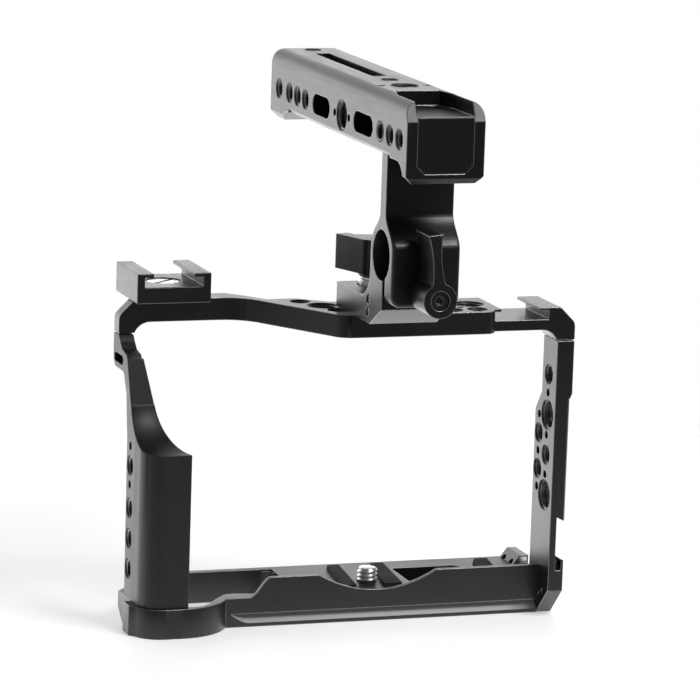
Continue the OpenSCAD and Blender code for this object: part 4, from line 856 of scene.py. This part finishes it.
class CAGE_OT_stage(bpy.types.Operator):
    """Builds the pale floor, the studio, the soft lights and the camera"""
    bl_idname = "cage.stage"
    bl_label = "Studio stage"

    def execute(self, context):
        scene = context.scene
        self.floor(scene)
        self.world(scene)
        self.lights(scene)
        self.camera(scene)
        scene.view_settings.view_transform = "Standard"
        return {"FINISHED"}

    def floor(self, scene):
        """A pale floor that fades out round the cage and shows brighter in reflections behind it"""
        centre = (cad_low + cad_high) / 2
        z = cad_low.z - FLOOR_GAP
        corners = [
            (centre.x + sx * FLOOR_HALF, centre.y + sy * FLOOR_HALF, z)
            for sx, sy in ((-1, -1), (1, -1), (1, 1), (-1, 1))]
        obj = new_piece("studio_floor", corners, [[0, 1, 2, 3]], smooth=False)
        m, tree, shader = new_material("studio floor")
        path = shader_node(tree, "ShaderNodeLightPath", (-900, 400))
        coord = shader_node(tree, "ShaderNodeTexCoord", (-1100, 0))
        place = shader_node(tree, "ShaderNodeSeparateXYZ", (-1100, -300), {"Vector": coord.outputs["Object"]})
        behind = map_range(tree, place.outputs["Y"], MIRROR_TURN, (MIRROR_FRONT, MIRROR_BACK), (-900, -300))
        mirrored = math_value(tree, "MULTIPLY", (-700, -200), path.outputs["Is Glossy Ray"], behind)
        seen = math_value(tree, "MAXIMUM", (-500, -200), path.outputs["Is Camera Ray"], mirrored)
        feed(tree, shader, {
            "Base Color": scene.cage_finish.floor, "Roughness": 0.55, "Specular IOR Level": 0.2,
            "Emission Color": (1, 1, 1),
            "Emission Strength": math_value(tree, "MULTIPLY", (-300, -200), seen, FLOOR_LIFT)})
        away = shader_node(tree, "ShaderNodeVectorMath", (-900, 0), {
            0: coord.outputs["Object"], 1: (centre.x, centre.y, z)}, operation="DISTANCE")
        fade = map_range(tree, away.outputs["Value"], FLOOR_FADE, (1.0, 0.0), (-700, 0), "SMOOTHSTEP")
        clear = shader_node(tree, "ShaderNodeBsdfTransparent", (-300, 300))
        mix = shader_node(tree, "ShaderNodeMixShader", (100, 200), {
            0: fade, 1: clear.outputs[0], 2: shader.outputs[0]})
        feed(tree, tree.nodes["Material Output"], {"Surface": mix.outputs[0]})
        obj.data.materials.append(m)

    def world(self, scene):
        """White where the camera looks; elsewhere a studio, bright behind the cage and dim before it"""
        world = bpy.data.worlds.new("studio")
        world.use_nodes = True
        tree = world.node_tree
        path = shader_node(tree, "ShaderNodeLightPath", (-900, 200))
        seen = math_value(
            tree, "MAXIMUM", (-500, 200), path.outputs["Is Camera Ray"], path.outputs["Is Transmission Ray"])
        coord = shader_node(tree, "ShaderNodeTexCoord", (-1100, -100))
        axes = shader_node(tree, "ShaderNodeSeparateXYZ", (-900, -100), {
            "Vector": coord.outputs["Generated"]})
        room = map_range(
            tree, axes.outputs["Y"], BACK_TURN, (STUDIO_FRONT, STUDIO_BACK), (-700, -100), "SMOOTHSTEP")
        aside = math_value(tree, "ABSOLUTE", (-700, -400), axes.outputs["X"])
        wings = map_range(tree, aside, SIDE_TURN, (0.0, STUDIO_SIDES), (-500, -400), "SMOOTHSTEP")
        round_about = math_value(tree, "MAXIMUM", (-300, -200), room, wings)
        level = math_value(tree, "MAXIMUM", (-150, 0), round_about, seen)
        feed(tree, tree.nodes["Background"], {"Color": (1, 1, 1), "Strength": level})
        scene.world = world

    def lights(self, scene):
        """Soft rectangular lights that the camera doesn't see"""
        for name, place, width, height, power in STUDIO_LIGHTS:
            data = bpy.data.lights.new(name, "AREA")
            data.shape = "RECTANGLE"
            data.size = width
            data.size_y = height
            data.energy = power
            obj = bpy.data.objects.new(name, data)
            obj.location = place
            obj.rotation_mode = "QUATERNION"
            obj.rotation_quaternion = (Vector(LIGHT_AIM) - Vector(place)).to_track_quat("-Z", "Y")
            obj.visible_camera = False
            scene.collection.objects.link(obj)

    def camera(self, scene):
        """A long lens before the cage, a little above it and on the grip's side"""
        azimuth, elevation, roll = (math.radians(d) for d in CAMERA_ANGLES)
        back = Vector((
            -math.sin(azimuth) * math.cos(elevation), -math.cos(azimuth) * math.cos(elevation),
            math.sin(elevation)))
        right = Vector((math.cos(azimuth), -math.sin(azimuth), 0))
        up = back.cross(right)
        side = right * math.cos(roll) + up * math.sin(roll)
        top = up * math.cos(roll) - right * math.sin(roll)
        spot = Vector(CAMERA_TARGET) + back * CAMERA_DISTANCE
        data = bpy.data.cameras.new("camera")
        data.sensor_width = CAMERA_SENSOR
        data.lens = CAMERA_LENS
        data.clip_start = 0.05
        data.clip_end = 30
        obj = bpy.data.objects.new("camera", data)
        obj.matrix_world = Matrix((
            (side.x, top.x, back.x, spot.x), (side.y, top.y, back.y, spot.y),
            (side.z, top.z, back.z, spot.z), (0, 0, 0, 1)))
        scene.collection.objects.link(obj)
        scene.camera = obj


OPERATORS = [
    CAGE_OT_machined_parts, CAGE_OT_tapped_holes, CAGE_OT_camera_screw, CAGE_OT_shoe_screw,
    CAGE_OT_foot_screw, CAGE_OT_lever_spring, CAGE_OT_levers, CAGE_OT_fasteners, CAGE_OT_base_pads,
    CAGE_OT_stage,
]


class CAGE_PT_dressing(bpy.types.Panel):
    """Lists the steps that dress the cage"""
    bl_idname = "CAGE_PT_dressing"
    bl_label = "Cage dressing"
    bl_space_type = "VIEW_3D"
    bl_region_type = "UI"
    bl_category = "Cage"

    def draw(self, context):
        for name in CageFinish.__annotations__:
            self.layout.prop(context.scene.cage_finish, name)
        for name in CageSizes.__annotations__:
            self.layout.prop(context.scene.cage_sizes, name)
        for operator in OPERATORS:
            self.layout.operator(operator.bl_idname)


CLASSES = [CageFinish, CageSizes, *OPERATORS, CAGE_PT_dressing]


def register():
    for c in CLASSES:
        bpy.utils.register_class(c)
    bpy.types.Scene.cage_finish = bpy.props.PointerProperty(type=CageFinish)
    bpy.types.Scene.cage_sizes = bpy.props.PointerProperty(type=CageSizes)


def unregister():
    del bpy.types.Scene.cage_finish
    del bpy.types.Scene.cage_sizes
    for c in reversed(CLASSES):
        bpy.utils.unregister_class(c)


def main():
    """Registers the add-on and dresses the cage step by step"""
    register()
    bpy.ops.cage.machined_parts()
    bpy.ops.cage.tapped_holes()
    bpy.ops.cage.camera_screw()
    bpy.ops.cage.shoe_screw()
    bpy.ops.cage.foot_screw()
    bpy.ops.cage.lever_spring()
    bpy.ops.cage.levers()
    bpy.ops.cage.fasteners()
    bpy.ops.cage.base_pads()
    bpy.ops.cage.stage()


if __name__ == "__main__":
    main()
